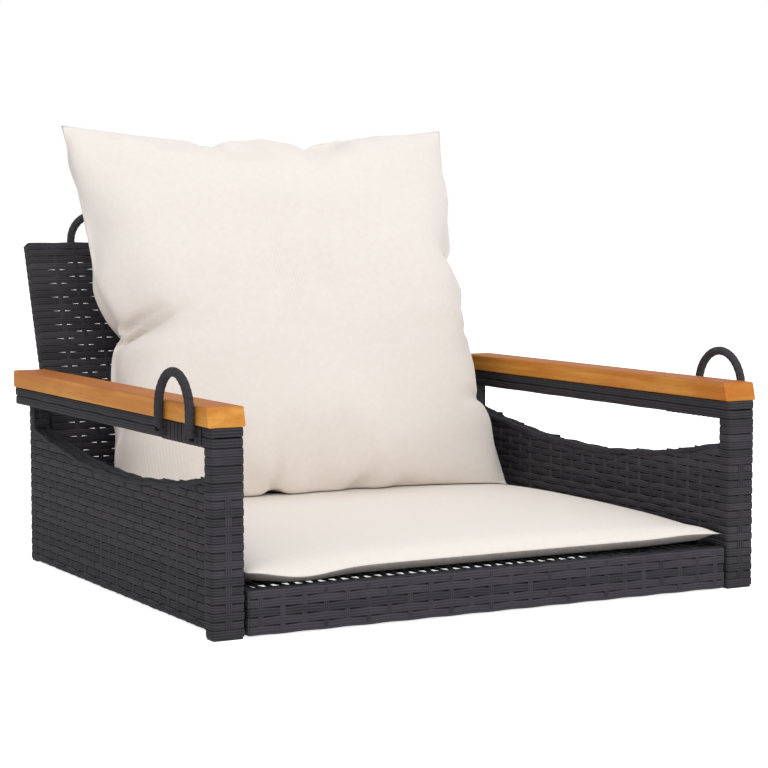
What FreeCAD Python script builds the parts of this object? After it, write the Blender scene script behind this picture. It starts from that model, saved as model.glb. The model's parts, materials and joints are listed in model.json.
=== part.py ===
import FreeCAD
import Part
import math
import os

os.makedirs("parts", exist_ok=True)
V = FreeCAD.Vector
X_AXIS = V(1, 0, 0)
Y_AXIS = V(0, 1, 0)
Z_AXIS = V(0, 0, 1)
ORIGIN = V(0, 0, 0)

# Driving sizes in mm: the front faces -Y, z = 0 is the floor, left is -X as seen from the front
overall_depth = 620.0
arm_span = 630.0
board_top_height = 217.5
bar_size = 15.0
wide_bar_size = 30.0
bar_wall = 1.2
skin = 2.0
overrun = 20.0
wrap_round = 3.0
along_share = 0.5
right_angle = 90.0

# Arms: wooden board on a wrapped rail, posts and a woven side panel with a bowed upper edge
board_width = 38.0
board_thickness = 19.0
board_setback = 2.0
board_bevel = 5.0
board_round = 2.0
rail_inset = 2.0
window_end_drop = 25.5
window_low_drop = 52.5
bow_thickness = 4.0
foot_height = 2.0
plug_depth = 12.0
plug_clearance = 0.05

# Wood screws from under the arm rail into the board
screw_radius = 2.0
screw_head_radius = 4.0
screw_bite = 12.0
screw_clearance = 0.25
screw_shares = (0.12, 0.5, 0.88)

# Hanging loops: bent rod, wrapped all along
rod_radius = 3.0
loop_wrap_radius = 4.7
loop_radius = 37.0
loop_lift = 0.6
loop_elbow = 6.0
loop_side_gap = 0.3
rod_clearance = 0.05
front_loop_setback = 70.0
front_loop_foot_drop = 10.0
front_loop_arc_drop = 8.0
rear_loop_inset = 94.0

# Seat frame with woven top and apron
seat_side_gap = 3.0
seat_height = 45.0
seat_back_gap = 9.1
cross_bar_shares = (0.25, 0.5, 0.75)
front_strut_shares = (-0.5, 0.0, 0.5)

# Leaning backrest
back_side_gap = 1.5
back_lean = 19.1
back_length = 373.0
back_cross_drop = 34.8
back_bar_shares = (-0.33, 0.33)

# Bolted joints between the frames
bolt_radius = 3.0
bolt_head_radius = 5.0
bolt_head_height = 3.3
bolt_clearance = 0.25
thread_clearance = 0.05
nut_radius = 4.5
nut_flange_radius = 5.5
nut_flange_thickness = 1.0
nut_length = 11.0
spacer_radius = 7.0
seat_bolt_shares = (0.15, 0.85)
back_bolt_height = 27.0

# Loose cushions: sewn covers over their filling
cover_thickness = 1.2
fill_gap = 0.6
seam_hem = 6.0
rest_gap = 0.3
seat_pad_side_inset = 1.0
seat_pad_front_inset = 4.0
seat_pad_rear_overhang = 5.0
seat_pad_seam_height = 8.0
seat_pad_crown = 22.0
seat_pad_roll = 95.0
seat_pad_corner_pull = 25.0
seat_pad_draw_in = 7.0
seat_pad_under_inset = 16.0
back_pad_side_inset = 25.5
back_pad_half_height = 231.0
back_pad_half_thickness = 84.5
back_pad_roll = 180.0
back_pad_corner_pull = 45.0
back_pad_foot_draw_in = 8.0
back_pad_side_draw_in = 24.0
back_pad_top_draw_in = 22.0
back_pad_lean = 20.5
back_pad_forward = 98.4
back_pad_foot_rise = 10.5
roll_turn_shares = (0.0, 0.16, 0.33, 0.5, 0.67, 0.84, 1.0)

# Derived positions
front_y = -overall_depth / 2
arm_outer = arm_span / 2
rail_outer = arm_outer - rail_inset
rail_width = wide_bar_size + 2 * skin
wrapped_bar = bar_size + 2 * skin
panel_inner = rail_outer - rail_width
panel_outer = panel_inner + wrapped_bar
bar_inner = panel_inner + skin
bar_outer = panel_outer - skin
rail_bar_outer = rail_outer - skin
board_under = board_top_height - board_thickness
rail_under = board_under - wrapped_bar
rail_bar_under = rail_under + skin
rail_bar_top = board_under - skin
bar_bottom = foot_height + skin
post_rear_y = front_y + wrapped_bar
post_bar_rear_y = post_rear_y - skin
back_half_thickness = wrapped_bar / 2
lean_sine = math.sin(math.radians(back_lean))
lean_cosine = math.cos(math.radians(back_lean))
lean_slope = lean_sine / lean_cosine
rear_loop_arc = back_length + loop_lift
back_base_y = overall_depth / 2 - (rear_loop_arc + loop_radius) * lean_sine - loop_wrap_radius
back_base_z = foot_height + back_half_thickness * lean_sine
back_cross_height = rail_under - back_cross_drop
rear_post_mid_y = back_base_y + (back_cross_height - back_base_z) * lean_slope
arm_rear_y = rear_post_mid_y + wrapped_bar / 2
arm_length = arm_rear_y - front_y
rear_post_front_y = arm_rear_y - wrapped_bar
window_end_height = rail_under - window_end_drop
window_low_height = rail_under - window_low_drop
window_mid_y = (post_rear_y + rear_post_front_y) / 2
seat_half = panel_inner - seat_side_gap
seat_bar_outer = seat_half - skin
seat_bar_inner = seat_bar_outer - bar_size
seat_rear_y = back_base_y - back_half_thickness / lean_cosine - seat_back_gap
seat_bar_rear_y = seat_rear_y - skin
upper_bar_top = seat_height - skin
upper_bar_under = upper_bar_top - bar_size
lower_bar_top = bar_bottom + bar_size
back_half = panel_inner - back_side_gap
back_bar_outer = back_half - skin
back_bar_inner = back_bar_outer - bar_size
rear_loop_offset = back_half - rear_loop_inset
front_loop_foot_height = board_under - front_loop_foot_drop
front_loop_arc_height = board_top_height - front_loop_arc_drop
front_loop_x = arm_outer + loop_side_gap + loop_wrap_radius
front_loop_y = front_y + front_loop_setback
seat_pad_half_width = seat_half - seat_pad_side_inset
seat_pad_front_y = front_y + seat_pad_front_inset
seat_pad_half_depth = (seat_rear_y + seat_pad_rear_overhang - seat_pad_front_y) / 2
seat_pad_mid_y = seat_pad_front_y + seat_pad_half_depth
seat_pad_seam_z = seat_height + rest_gap + seat_pad_seam_height
seat_pad_draw_ins = (seat_pad_draw_in, seat_pad_draw_in, seat_pad_draw_in)
back_pad_half_width = back_half - back_pad_side_inset
back_pad_draw_ins = (back_pad_foot_draw_in, back_pad_side_draw_in, back_pad_top_draw_in)
back_pad_half_reach = back_pad_half_height * math.cos(math.radians(back_pad_lean))
back_pad_mid_height = seat_pad_seam_z + back_pad_foot_rise + back_pad_half_reach
back_pad_mid_y = back_base_y + (back_pad_mid_height - back_base_z) * lean_slope - back_pad_forward


def block(low, high):
    """Solid box between two corners."""
    return Part.makeBox(high[0] - low[0], high[1] - low[1], high[2] - low[2], V(*low))


def grown(low, high, amounts):
    """Corners of a box moved outwards by an amount on each axis."""
    new_low = [value - amount for value, amount in zip(low, amounts)]
    new_high = [value + amount for value, amount in zip(high, amounts)]
    return new_low, new_high


def edges_along(shape, along):
    """Edges that run mainly along one axis."""
    return [edge for edge in shape.Edges if abs(edge.tangentAt(edge.FirstParameter)[along]) > along_share]


def bore_box(low, high, along, wall):
    """Inside of a rectangular tube, run past both ends of the axis along."""
    amounts = [-wall, -wall, -wall]
    amounts[along] = overrun
    return block(*grown(low, high, amounts))


def tube(low, high, along):
    """Rectangular steel tube between two corners, open at both ends of the axis along."""
    return block(low, high).cut(bore_box(low, high, along, bar_wall))


def eased_block(low, high, along):
    """Box between two corners with rounded edges along one axis."""
    solid = block(low, high)
    return solid.makeFillet(wrap_round, edges_along(solid, along))


def sleeve(low, high, along):
    """Strand skin round a tube, open at both ends of the axis along."""
    return eased_block(low, high, along).cut(bore_box(low, high, along, skin))


def pin(centre, axis, radius, length):
    """Round pin that starts at centre and runs along axis."""
    return Part.makeCylinder(radius, length, centre, axis)


def ring(centre, axis, outer_radius, inner_radius, length):
    """Round sleeve that starts at centre and runs along axis."""
    core = pin(centre - axis * overrun, axis, inner_radius, length + 2 * overrun)
    return pin(centre, axis, outer_radius, length).cut(core)


def mirrored(shape):
    """The same piece on the other side of the bench."""
    return shape.mirror(ORIGIN, X_AXIS)


def leaned(shape):
    """A backrest piece, drawn upright about its own middle plane, set at its lean."""
    placed = shape.copy()
    placed.rotate(ORIGIN, X_AXIS, -back_lean)
    placed.translate(V(0, back_base_y, back_base_z))
    return placed


def save(name, shape):
    """Write one node."""
    shape.exportStep("parts/" + name + ".step")


def save_pair(name, right_shape):
    """Write a node for the right side and its mirror image for the left."""
    save("right_" + name, right_shape)
    save("left_" + name, mirrored(right_shape))


def save_both(name, right_shapes):
    """Write one node that holds the pieces of both sides."""
    save(name, Part.makeCompound(right_shapes + [mirrored(shape) for shape in right_shapes]))


def window_arc(drop, rear_y):
    """Bowed edge of the side panel, lowered by drop, from front to rear."""
    start = V(0, post_rear_y, window_end_height - drop)
    middle = V(0, window_mid_y, window_low_height - drop)
    return Part.Arc(start, middle, V(0, rear_y, window_end_height - drop)).toShape()


def closed_face(edge, points):
    """Flat face closed by straight lines from the end of an edge through points to its start."""
    corners = [edge.Vertexes[-1].Point] + points + [edge.Vertexes[0].Point]
    return Part.Face(Part.Wire([edge, Part.makePolygon(corners)]))


def side_prism(face, inner_x, outer_x):
    """A face in the YZ plane carried from one X to another."""
    moved = face.copy()
    moved.translate(V(inner_x, 0, 0))
    return moved.extrude(V(outer_x - inner_x, 0, 0))


def rod_along(edges, radius):
    """Round rod along a path."""
    path = Part.Wire(edges)
    first = edges[0]
    start = first.valueAt(first.FirstParameter)
    direction = first.tangentAt(first.FirstParameter)
    profile = Part.Wire(Part.makeCircle(radius, start, direction))
    return path.makePipeShell([profile], True, False)


def arch_edges(left_foot, top, right_foot, rise, across):
    """Two quarter arcs from one foot over the top to the other."""
    bend = math.sqrt(along_share)
    centre = (left_foot + right_foot) / 2
    left_mid = centre + rise * (loop_radius * bend) - across * (loop_radius * bend)
    right_mid = centre + rise * (loop_radius * bend) + across * (loop_radius * bend)
    return [Part.Arc(left_foot, left_mid, top).toShape(), Part.Arc(top, right_mid, right_foot).toShape()]


def front_loop_edges(start_x):
    """Path of a front loop from the arm rail outwards, up, over and back."""
    bend = loop_elbow * (1 - math.sqrt(along_share))
    legs = []
    for sign in (-1, 1):
        y = front_loop_y + sign * loop_radius
        root = V(start_x, y, front_loop_foot_height)
        turn_in = V(front_loop_x - loop_elbow, y, front_loop_foot_height)
        turn_mid = V(front_loop_x - bend, y, front_loop_foot_height + bend)
        turn_out = V(front_loop_x, y, front_loop_foot_height + loop_elbow)
        spring = V(front_loop_x, y, front_loop_arc_height)
        legs.append((root, turn_in, turn_mid, turn_out, spring))
    first, last = legs
    top = V(front_loop_x, front_loop_y, front_loop_arc_height + loop_radius)
    return (
        [Part.makeLine(first[0], first[1]), Part.Arc(first[1], first[2], first[3]).toShape()]
        + [Part.makeLine(first[3], first[4])]
        + arch_edges(first[4], top, last[4], Z_AXIS, Y_AXIS)
        + [Part.makeLine(last[4], last[3]), Part.Arc(last[3], last[2], last[1]).toShape()]
        + [Part.makeLine(last[1], last[0])]
    )


def rear_loop_edges(start_z):
    """Path of a rear loop on the upright backrest, from its top edge up, over and back."""
    feet = [V(rear_loop_offset + sign * loop_radius, 0, rear_loop_arc) for sign in (-1, 1)]
    roots = [V(foot.x, 0, start_z) for foot in feet]
    top = V(rear_loop_offset, 0, rear_loop_arc + loop_radius)
    arch = arch_edges(feet[0], top, feet[1], Z_AXIS, X_AXIS)
    return [Part.makeLine(roots[0], feet[0])] + arch + [Part.makeLine(feet[1], roots[1])]


def pad_outline(half_width, half_depth, draw_ins, corner_pull, height):
    """Cushion outline with four corners, and near, side and far edges drawn in between them."""
    near_draw_in, side_draw_in, far_draw_in = draw_ins
    corner_x = half_width - corner_pull
    corner_y = half_depth - corner_pull
    signs = ((-1, -1), (1, -1), (1, 1), (-1, 1))
    corners = [V(sign_x * corner_x, sign_y * corner_y, height) for sign_x, sign_y in signs]
    middles = [V(0, near_draw_in - half_depth, height), V(half_width - side_draw_in, 0, height)]
    middles += [V(0, half_depth - far_draw_in, height), V(side_draw_in - half_width, 0, height)]
    edges = []
    for index, middle in enumerate(middles):
        start = corners[index]
        end = corners[(index + 1) % len(corners)]
        curve = Part.BezierCurve()
        curve.setPoles([start, middle * 2 - (start + end) / 2, end])
        edges.append(curve.toShape())
    return Part.Wire(edges)


def pad_half(half_width, half_depth, draw_ins, roll, corner_pull, rise):
    """Half of a cushion from its seam plane, rolled over like a quarter of an ellipse."""
    outlines = []
    for share in roll_turn_shares:
        turn = math.radians(share * right_angle)
        fade = math.cos(turn)
        width = half_width - roll * (1 - fade)
        depth = half_depth - roll * (1 - fade)
        draws = [draw_in * fade for draw_in in draw_ins]
        pull = corner_pull * math.sin(2 * turn)
        outlines.append(pad_outline(width, depth, draws, pull, rise * math.sin(turn)))
    return Part.makeLoft(outlines, True, False)


def plan_inset(inset):
    """Inset of an inner form along the seam plane, where the sewn hem is left out."""
    return inset + seam_hem if inset else 0


def seat_pad_top(inset):
    """Crowned upper half of the seat cushion about its seam plane."""
    width = seat_pad_half_width - plan_inset(inset)
    depth = seat_pad_half_depth - plan_inset(inset)
    roll = seat_pad_roll + inset - plan_inset(inset)
    rise = seat_pad_crown - inset
    return pad_half(width, depth, seat_pad_draw_ins, roll, seat_pad_corner_pull, rise)


def placed_seat_pad(inset):
    """Seat cushion set down on the woven seat: crowned above, flat below."""
    width = seat_pad_half_width - plan_inset(inset)
    depth = seat_pad_half_depth - plan_inset(inset)
    seam = pad_outline(width, depth, seat_pad_draw_ins, 0, 0)
    under_width = width - seat_pad_under_inset
    under_depth = depth - seat_pad_under_inset
    under = pad_outline(under_width, under_depth, seat_pad_draw_ins, 0, inset - seat_pad_seam_height)
    shape = seat_pad_top(inset).fuse(Part.makeLoft([under, seam], True, True))
    shape.translate(V(0, seat_pad_mid_y, seat_pad_seam_z))
    return shape


def placed_back_pad(inset):
    """Back cushion pressed flat against the backrest and set down on the crown of the seat cushion."""
    width = back_pad_half_width - plan_inset(inset)
    height = back_pad_half_height - plan_inset(inset)
    roll = back_pad_roll + inset - plan_inset(inset)
    rise = back_pad_half_thickness - inset
    form = (width, height, back_pad_draw_ins, roll, back_pad_corner_pull)
    shape = pad_half(*form, rise).fuse(pad_half(*form, -rise))
    shape.rotate(ORIGIN, X_AXIS, right_angle - back_pad_lean)
    shape.translate(V(0, back_pad_mid_y, back_pad_mid_height))
    face_y = -back_half_thickness - rest_gap - inset
    low = (-arm_span, face_y, -overall_depth)
    shape = shape.cut(leaned(block(low, (arm_span, overall_depth, 2 * overall_depth))))
    carrier = seat_pad_top(0)
    carrier.translate(V(0, seat_pad_mid_y, seat_pad_seam_z + rest_gap + inset))
    return shape.cut(carrier)


def bolt_set(centre, bar_inner_x, bar_outer_x):
    """Bolt, spacer and rivet nut along +X: head on the inner bar, nut in the arm's bar."""
    y, z = centre
    head = pin(V(bar_inner_x - bolt_head_height, y, z), X_AXIS, bolt_head_radius, bolt_head_height)
    shank_end = bar_inner + nut_length
    shank = pin(V(bar_inner_x, y, z), X_AXIS, bolt_radius, shank_end - bar_inner_x)
    bolt = head.fuse(shank).removeSplitter()
    bore = bolt_radius + bolt_clearance
    spacer = ring(V(bar_outer_x, y, z), X_AXIS, spacer_radius, bore, panel_inner - bar_outer_x)
    flange_x = bar_inner - nut_flange_thickness
    nut_body = pin(V(bar_inner, y, z), X_AXIS, nut_radius, nut_length)
    flange = pin(V(flange_x, y, z), X_AXIS, nut_flange_radius, nut_flange_thickness)
    thread = pin(V(flange_x - overrun, y, z), X_AXIS, bolt_radius + thread_clearance, arm_span)
    nut = nut_body.fuse(flange).removeSplitter().cut(thread)
    return bolt, spacer, nut


def bolt_hole(centre, start_x, end_x, radius):
    """Cutter for a hole along X."""
    return pin(V(start_x, centre[0], centre[1]), X_AXIS, radius, end_x - start_x)


# Places of the bolts, as (y, z)
seat_bolt_places = []
for share in seat_bolt_shares:
    seat_bolt_places.append((post_rear_y + share * (seat_rear_y - post_rear_y), bar_bottom + bar_size / 2))
back_low_place = (
    back_base_y + (back_bolt_height - back_base_z) * lean_slope,
    back_bolt_height,
)
back_bolt_places = [back_low_place, (rear_post_mid_y, back_cross_height)]
all_bolt_places = seat_bolt_places + back_bolt_places
wall_cut_end = bar_inner + bar_wall + bolt_clearance
flange_hole_radius = nut_flange_radius + bolt_clearance
nut_holes = []
flange_holes = []
for place in all_bolt_places:
    nut_holes.append(bolt_hole(place, panel_inner, wall_cut_end, nut_radius))
    flange_holes.append(bolt_hole(place, panel_inner - overrun, bar_inner, flange_hole_radius))
screw_ys = [front_y + share * arm_length for share in screw_shares]
rail_mid_x = (panel_inner + rail_outer) / 2

# Arm bars
front_post_low = (bar_inner, front_y + skin, bar_bottom)
front_post_high = (rail_bar_outer, post_bar_rear_y, rail_bar_under)
front_post = tube(front_post_low, front_post_high, 2)
save_pair("front_post", front_post)

rear_post_low = (bar_inner, rear_post_front_y + skin, bar_bottom)
rear_post_high = (bar_outer, arm_rear_y - skin, rail_bar_under)
rear_post = tube(rear_post_low, rear_post_high, 2)
save_pair("rear_post", rear_post.cut(nut_holes[-1]))

bottom_rail_low = (bar_inner, post_bar_rear_y, bar_bottom)
bottom_rail_high = (bar_outer, rear_post_front_y + skin, bar_bottom + wide_bar_size)
bottom_rail = tube(bottom_rail_low, bottom_rail_high, 1)
for cutter in nut_holes[:-1]:
    bottom_rail = bottom_rail.cut(cutter)
save_pair("bottom_rail", bottom_rail)

bow_top = window_arc(skin, rear_post_front_y + skin)
bow_under = window_arc(skin + bow_thickness, rear_post_front_y + skin)
bow_front_top = V(0, post_bar_rear_y, window_end_height - skin)
bow_front_under = V(0, post_bar_rear_y, window_end_height - skin - bow_thickness)
bow_wire = Part.Wire(
    [
        Part.makeLine(bow_front_under, bow_front_top),
        Part.makeLine(bow_front_top, bow_top.Vertexes[0].Point),
        bow_top,
        Part.makeLine(bow_top.Vertexes[-1].Point, bow_under.Vertexes[-1].Point),
        bow_under,
        Part.makeLine(bow_under.Vertexes[0].Point, bow_front_under),
    ]
)
bowed_rail = side_prism(Part.Face(bow_wire), bar_inner, bar_outer)
save_pair("bowed_rail", bowed_rail)

rail_bar_low = (bar_inner, front_y + skin, rail_bar_under)
rail_bar_high = (rail_bar_outer, arm_rear_y - skin, rail_bar_top)
arm_rail = tube(rail_bar_low, rail_bar_high, 1)
for y in screw_ys:
    arm_rail = arm_rail.cut(
        pin(V(rail_mid_x, y, rail_under), Z_AXIS, screw_radius + screw_clearance, wrapped_bar)
    )
save_pair("arm_rail", arm_rail)

# Woven and wrapped skins of the arms
panel_points = [V(0, rear_post_front_y, rail_under), V(0, arm_rear_y, rail_under)]
panel_points += [V(0, arm_rear_y, foot_height), V(0, post_rear_y, foot_height)]
panel_face = closed_face(window_arc(0, rear_post_front_y), panel_points)
cavity_front_y = post_rear_y - overrun
cavity_points = [V(0, rear_post_front_y + skin, rail_under + overrun)]
cavity_points += [V(0, arm_rear_y - skin, rail_under + overrun), V(0, arm_rear_y - skin, bar_bottom)]
cavity_points += [V(0, cavity_front_y, bar_bottom), V(0, cavity_front_y, window_end_height - skin)]
cavity_face = closed_face(bow_top, cavity_points)
side_weave = side_prism(panel_face, panel_inner, panel_outer)
side_weave = side_weave.cut(side_prism(cavity_face, bar_inner, bar_outer))
rear_plug_low = (bar_inner, rear_post_front_y + skin, 0)
rear_plug_high = (bar_outer, arm_rear_y - skin, bar_bottom)
side_weave = side_weave.cut(block(rear_plug_low, rear_plug_high))
for cutter in flange_holes:
    side_weave = side_weave.cut(cutter)
save_pair("side_weave", side_weave)

wrap_low = (panel_inner, front_y, foot_height)
wrap_high = (rail_outer, post_rear_y, rail_under)
front_post_wrap = sleeve(wrap_low, wrap_high, 2)
front_post_wrap = front_post_wrap.cut(block(bottom_rail_low, bottom_rail_high)).cut(bowed_rail)
save_pair("front_post_wrap", front_post_wrap)

rail_wrap_low = (panel_inner, front_y, rail_under)
rail_wrap_high = (rail_outer, arm_rear_y, board_under)
rail_wrap = eased_block(rail_wrap_low, rail_wrap_high, 1).cut(block(rail_bar_low, rail_bar_high))
rail_wrap = rail_wrap.cut(block(front_post_low, front_post_high))
rail_wrap = rail_wrap.cut(block(rear_post_low, rear_post_high))
for y in screw_ys:
    rail_wrap = rail_wrap.cut(
        pin(V(rail_mid_x, y, rail_under), Z_AXIS, screw_head_radius + screw_clearance, skin)
    )
    rail_wrap = rail_wrap.cut(
        pin(V(rail_mid_x, y, rail_bar_top), Z_AXIS, screw_radius + screw_clearance, skin)
    )
for sign in (-1, 1):
    foot = V(rail_bar_outer, front_loop_y + sign * loop_radius, front_loop_foot_height)
    rail_wrap = rail_wrap.cut(pin(foot, X_AXIS, rod_radius + rod_clearance, skin))
save_pair("arm_rail_wrap", rail_wrap)

# Wooden arm boards with a slanted front end and eased long edges
board_front = front_y + board_setback
board_corners = [V(0, board_front, board_under), V(0, arm_rear_y, board_under)]
board_corners += [V(0, arm_rear_y, board_top_height), V(0, board_front + board_bevel, board_top_height)]
board_face = Part.Face(Part.makePolygon(board_corners + board_corners[:1]))
board = side_prism(board_face, arm_outer - board_width, arm_outer)
board = board.makeFillet(board_round, edges_along(board, 1))
for y in screw_ys:
    board = board.cut(pin(V(rail_mid_x, y, board_under), Z_AXIS, screw_radius, screw_bite))
save_pair("arm_board", board)

screws = []
for y in screw_ys:
    head = pin(V(rail_mid_x, y, rail_under), Z_AXIS, screw_head_radius, skin)
    shank_length = board_under + screw_bite - rail_bar_under
    shank = pin(V(rail_mid_x, y, rail_bar_under), Z_AXIS, screw_radius, shank_length)
    screws.append(head.fuse(shank).removeSplitter())
save_both("arm_board_screws", screws)

# Plugs in the open feet of the posts
plugs = []
for low, high in ((front_post_low, front_post_high), (rear_post_low, rear_post_high)):
    foot = block((low[0], low[1], 0), (high[0], high[1], bar_bottom))
    inset = bar_wall + plug_clearance
    stem_low = (low[0] + inset, low[1] + inset, bar_bottom)
    stem = block(stem_low, (high[0] - inset, high[1] - inset, bar_bottom + plug_depth))
    plugs.append(foot.fuse(stem).removeSplitter())
save_both("post_foot_plugs", plugs)

# Hanging loops on the arms and on the backrest
front_rod = rod_along(front_loop_edges(rail_bar_outer), rod_radius)
save_pair("front_loop_rod", front_rod)
front_wrap = rod_along(front_loop_edges(rail_outer), loop_wrap_radius)
save_pair("front_loop_wrap", front_wrap.cut(rod_along(front_loop_edges(rail_bar_outer), rod_radius)))
back_bar_top = back_length - skin
rear_rod = rod_along(rear_loop_edges(back_bar_top), rod_radius)
save_pair("rear_loop_rod", leaned(rear_rod))
rear_wrap = rod_along(rear_loop_edges(back_length), loop_wrap_radius).cut(rear_rod)
save_pair("rear_loop_wrap", leaned(rear_wrap))

# Seat frame
upper_front_low = (-seat_half, front_y + skin, upper_bar_under)
upper_front_high = (seat_half, post_bar_rear_y, upper_bar_top)
save("seat_front_upper_rail", tube(upper_front_low, upper_front_high, 0))
lower_front_low = (-seat_half, front_y + skin, bar_bottom)
lower_front_high = (seat_half, post_bar_rear_y, lower_bar_top)
save("seat_front_lower_rail", tube(lower_front_low, lower_front_high, 0))
rear_rail_front_y = seat_bar_rear_y - bar_size
rear_rail_low = (-seat_bar_outer, rear_rail_front_y, upper_bar_under)
rear_rail_high = (seat_bar_outer, seat_bar_rear_y, upper_bar_top)
save("seat_rear_rail", tube(rear_rail_low, rear_rail_high, 0))

upper_side_low = (seat_bar_inner, post_bar_rear_y, upper_bar_under)
upper_side_high = (seat_bar_outer, rear_rail_front_y, upper_bar_top)
save_pair("seat_upper_side_rail", tube(upper_side_low, upper_side_high, 1))
lower_side_low = (seat_bar_inner, post_bar_rear_y, bar_bottom)
lower_side_high = (seat_bar_outer, seat_bar_rear_y, lower_bar_top)
lower_side = tube(lower_side_low, lower_side_high, 1)
for place in seat_bolt_places:
    cutter = bolt_hole(place, seat_bar_inner - overrun, seat_half, bolt_radius + bolt_clearance)
    lower_side = lower_side.cut(cutter)
save_pair("seat_lower_side_rail", lower_side)

cross_boxes = []
for share in cross_bar_shares:
    y = post_bar_rear_y + share * (rear_rail_front_y - post_bar_rear_y)
    low = (-seat_bar_inner, y - bar_size / 2, upper_bar_under)
    cross_boxes.append((low, (seat_bar_inner, y + bar_size / 2, upper_bar_top)))
save("seat_cross_bars", Part.makeCompound([tube(low, high, 0) for low, high in cross_boxes]))

struts = []
for share in front_strut_shares:
    x = share * seat_half
    low = (x - bar_size / 2, front_y + skin, lower_bar_top)
    struts.append(tube(low, (x + bar_size / 2, post_bar_rear_y, upper_bar_under), 2))
for inner_x in (-seat_bar_outer, seat_bar_inner):
    low = (inner_x, rear_rail_front_y, lower_bar_top)
    high = (inner_x + bar_size, seat_bar_rear_y, upper_bar_under)
    struts.append(tube(low, high, 2))
save("seat_struts", Part.makeCompound(struts))

seat_weave_low = (-seat_half, post_rear_y, upper_bar_under)
seat_weave_high = (seat_half, seat_rear_y, seat_height)
cavity_low = (-seat_bar_outer, post_rear_y - overrun, upper_bar_under - overrun)
cavity_high = (seat_bar_outer, seat_bar_rear_y, upper_bar_top)
save("seat_weave", block(seat_weave_low, seat_weave_high).cut(block(cavity_low, cavity_high)))

apron_low = (-seat_half, front_y, foot_height)
apron_high = (seat_half, post_rear_y, seat_height)
apron_weave = sleeve(apron_low, apron_high, 0)
side_cutters = [block(upper_side_low, upper_side_high), block(lower_side_low, lower_side_high)]
for cutter in side_cutters:
    apron_weave = apron_weave.cut(cutter).cut(mirrored(cutter))
save("apron_weave", apron_weave)

# Backrest, drawn upright about its middle plane and then leaned
stile_low = (back_bar_inner, -bar_size / 2, skin)
stile_high = (back_bar_outer, bar_size / 2, back_bar_top)
stile = leaned(tube(stile_low, stile_high, 2))
for place in back_bolt_places:
    cutter = bolt_hole(place, back_bar_inner - overrun, back_half, bolt_radius + bolt_clearance)
    stile = stile.cut(cutter)
save_pair("backrest_stile", stile)

rail_boxes = {}
rail_boxes["backrest_top_rail"] = (back_bar_top - bar_size, back_bar_top)
rail_boxes["backrest_bottom_rail"] = (skin, skin + bar_size)
for name, (under, top) in rail_boxes.items():
    low = (-back_bar_inner, -bar_size / 2, under)
    save(name, leaned(tube(low, (back_bar_inner, bar_size / 2, top), 0)))

mid_bars = []
for share in back_bar_shares:
    x = share * back_half
    low = (x - bar_size / 2, -bar_size / 2, skin + bar_size)
    mid_bars.append(leaned(tube(low, (x + bar_size / 2, bar_size / 2, back_bar_top - bar_size), 2)))
save("backrest_mid_bars", Part.makeCompound(mid_bars))

back_weave_low = (-back_half, -back_half_thickness, 0)
back_weave_high = (back_half, back_half_thickness, back_length)
back_cavity_low = (-back_bar_outer, -bar_size / 2, skin)
back_cavity_high = (back_bar_outer, bar_size / 2, back_bar_top)
back_open_low = (-back_bar_inner, bar_size / 2, skin + bar_size)
back_open_high = (back_bar_inner, back_half_thickness + overrun, back_bar_top - bar_size)
back_outer = block(back_weave_low, back_weave_high)
back_outer = back_outer.makeFillet(wrap_round, back_outer.Edges)
back_weave = back_outer.cut(block(back_cavity_low, back_cavity_high))
back_weave = back_weave.cut(block(back_open_low, back_open_high))
for sign_x in (-1, 1):
    for sign in (-1, 1):
        foot = V(sign_x * (rear_loop_offset + sign * loop_radius), 0, back_bar_top)
        back_weave = back_weave.cut(pin(foot, Z_AXIS, rod_radius + rod_clearance, skin))
back_weave = leaned(back_weave)
for place in back_bolt_places:
    cutter = bolt_hole(place, back_bar_outer, back_half + overrun, spacer_radius + bolt_clearance)
    back_weave = back_weave.cut(cutter).cut(mirrored(cutter))
save("backrest_weave", back_weave)

# Fasteners between the frames
seat_sets = [bolt_set(place, seat_bar_inner, seat_bar_outer) for place in seat_bolt_places]
back_sets = [bolt_set(place, back_bar_inner, back_bar_outer) for place in back_bolt_places]
for label, sets in (("seat", seat_sets), ("backrest", back_sets)):
    for index, kind in enumerate(("bolts", "spacers", "rivet_nuts")):
        save_both(label + "_" + kind, [group[index] for group in sets])

# Cushions
for name, maker in (("seat_cushion", placed_seat_pad), ("back_cushion", placed_back_pad)):
    save(name + "_cover", maker(0).cut(maker(cover_thickness)))
    save(name + "_fill", maker(cover_thickness + fill_gap))
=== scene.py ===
"""Looks of a single-seat swing bench: woven strands, wooden arm boards, wrapped loops and loose cushions.

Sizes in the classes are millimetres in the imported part's frame, where -Y is the front and +Z is up.
"""

import json
import logging
import math
from collections.abc import Sequence
from dataclasses import dataclass, field, replace
from enum import Enum

import bpy
import numpy as np
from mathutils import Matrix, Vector
from mathutils.bvhtree import BVHTree


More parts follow.
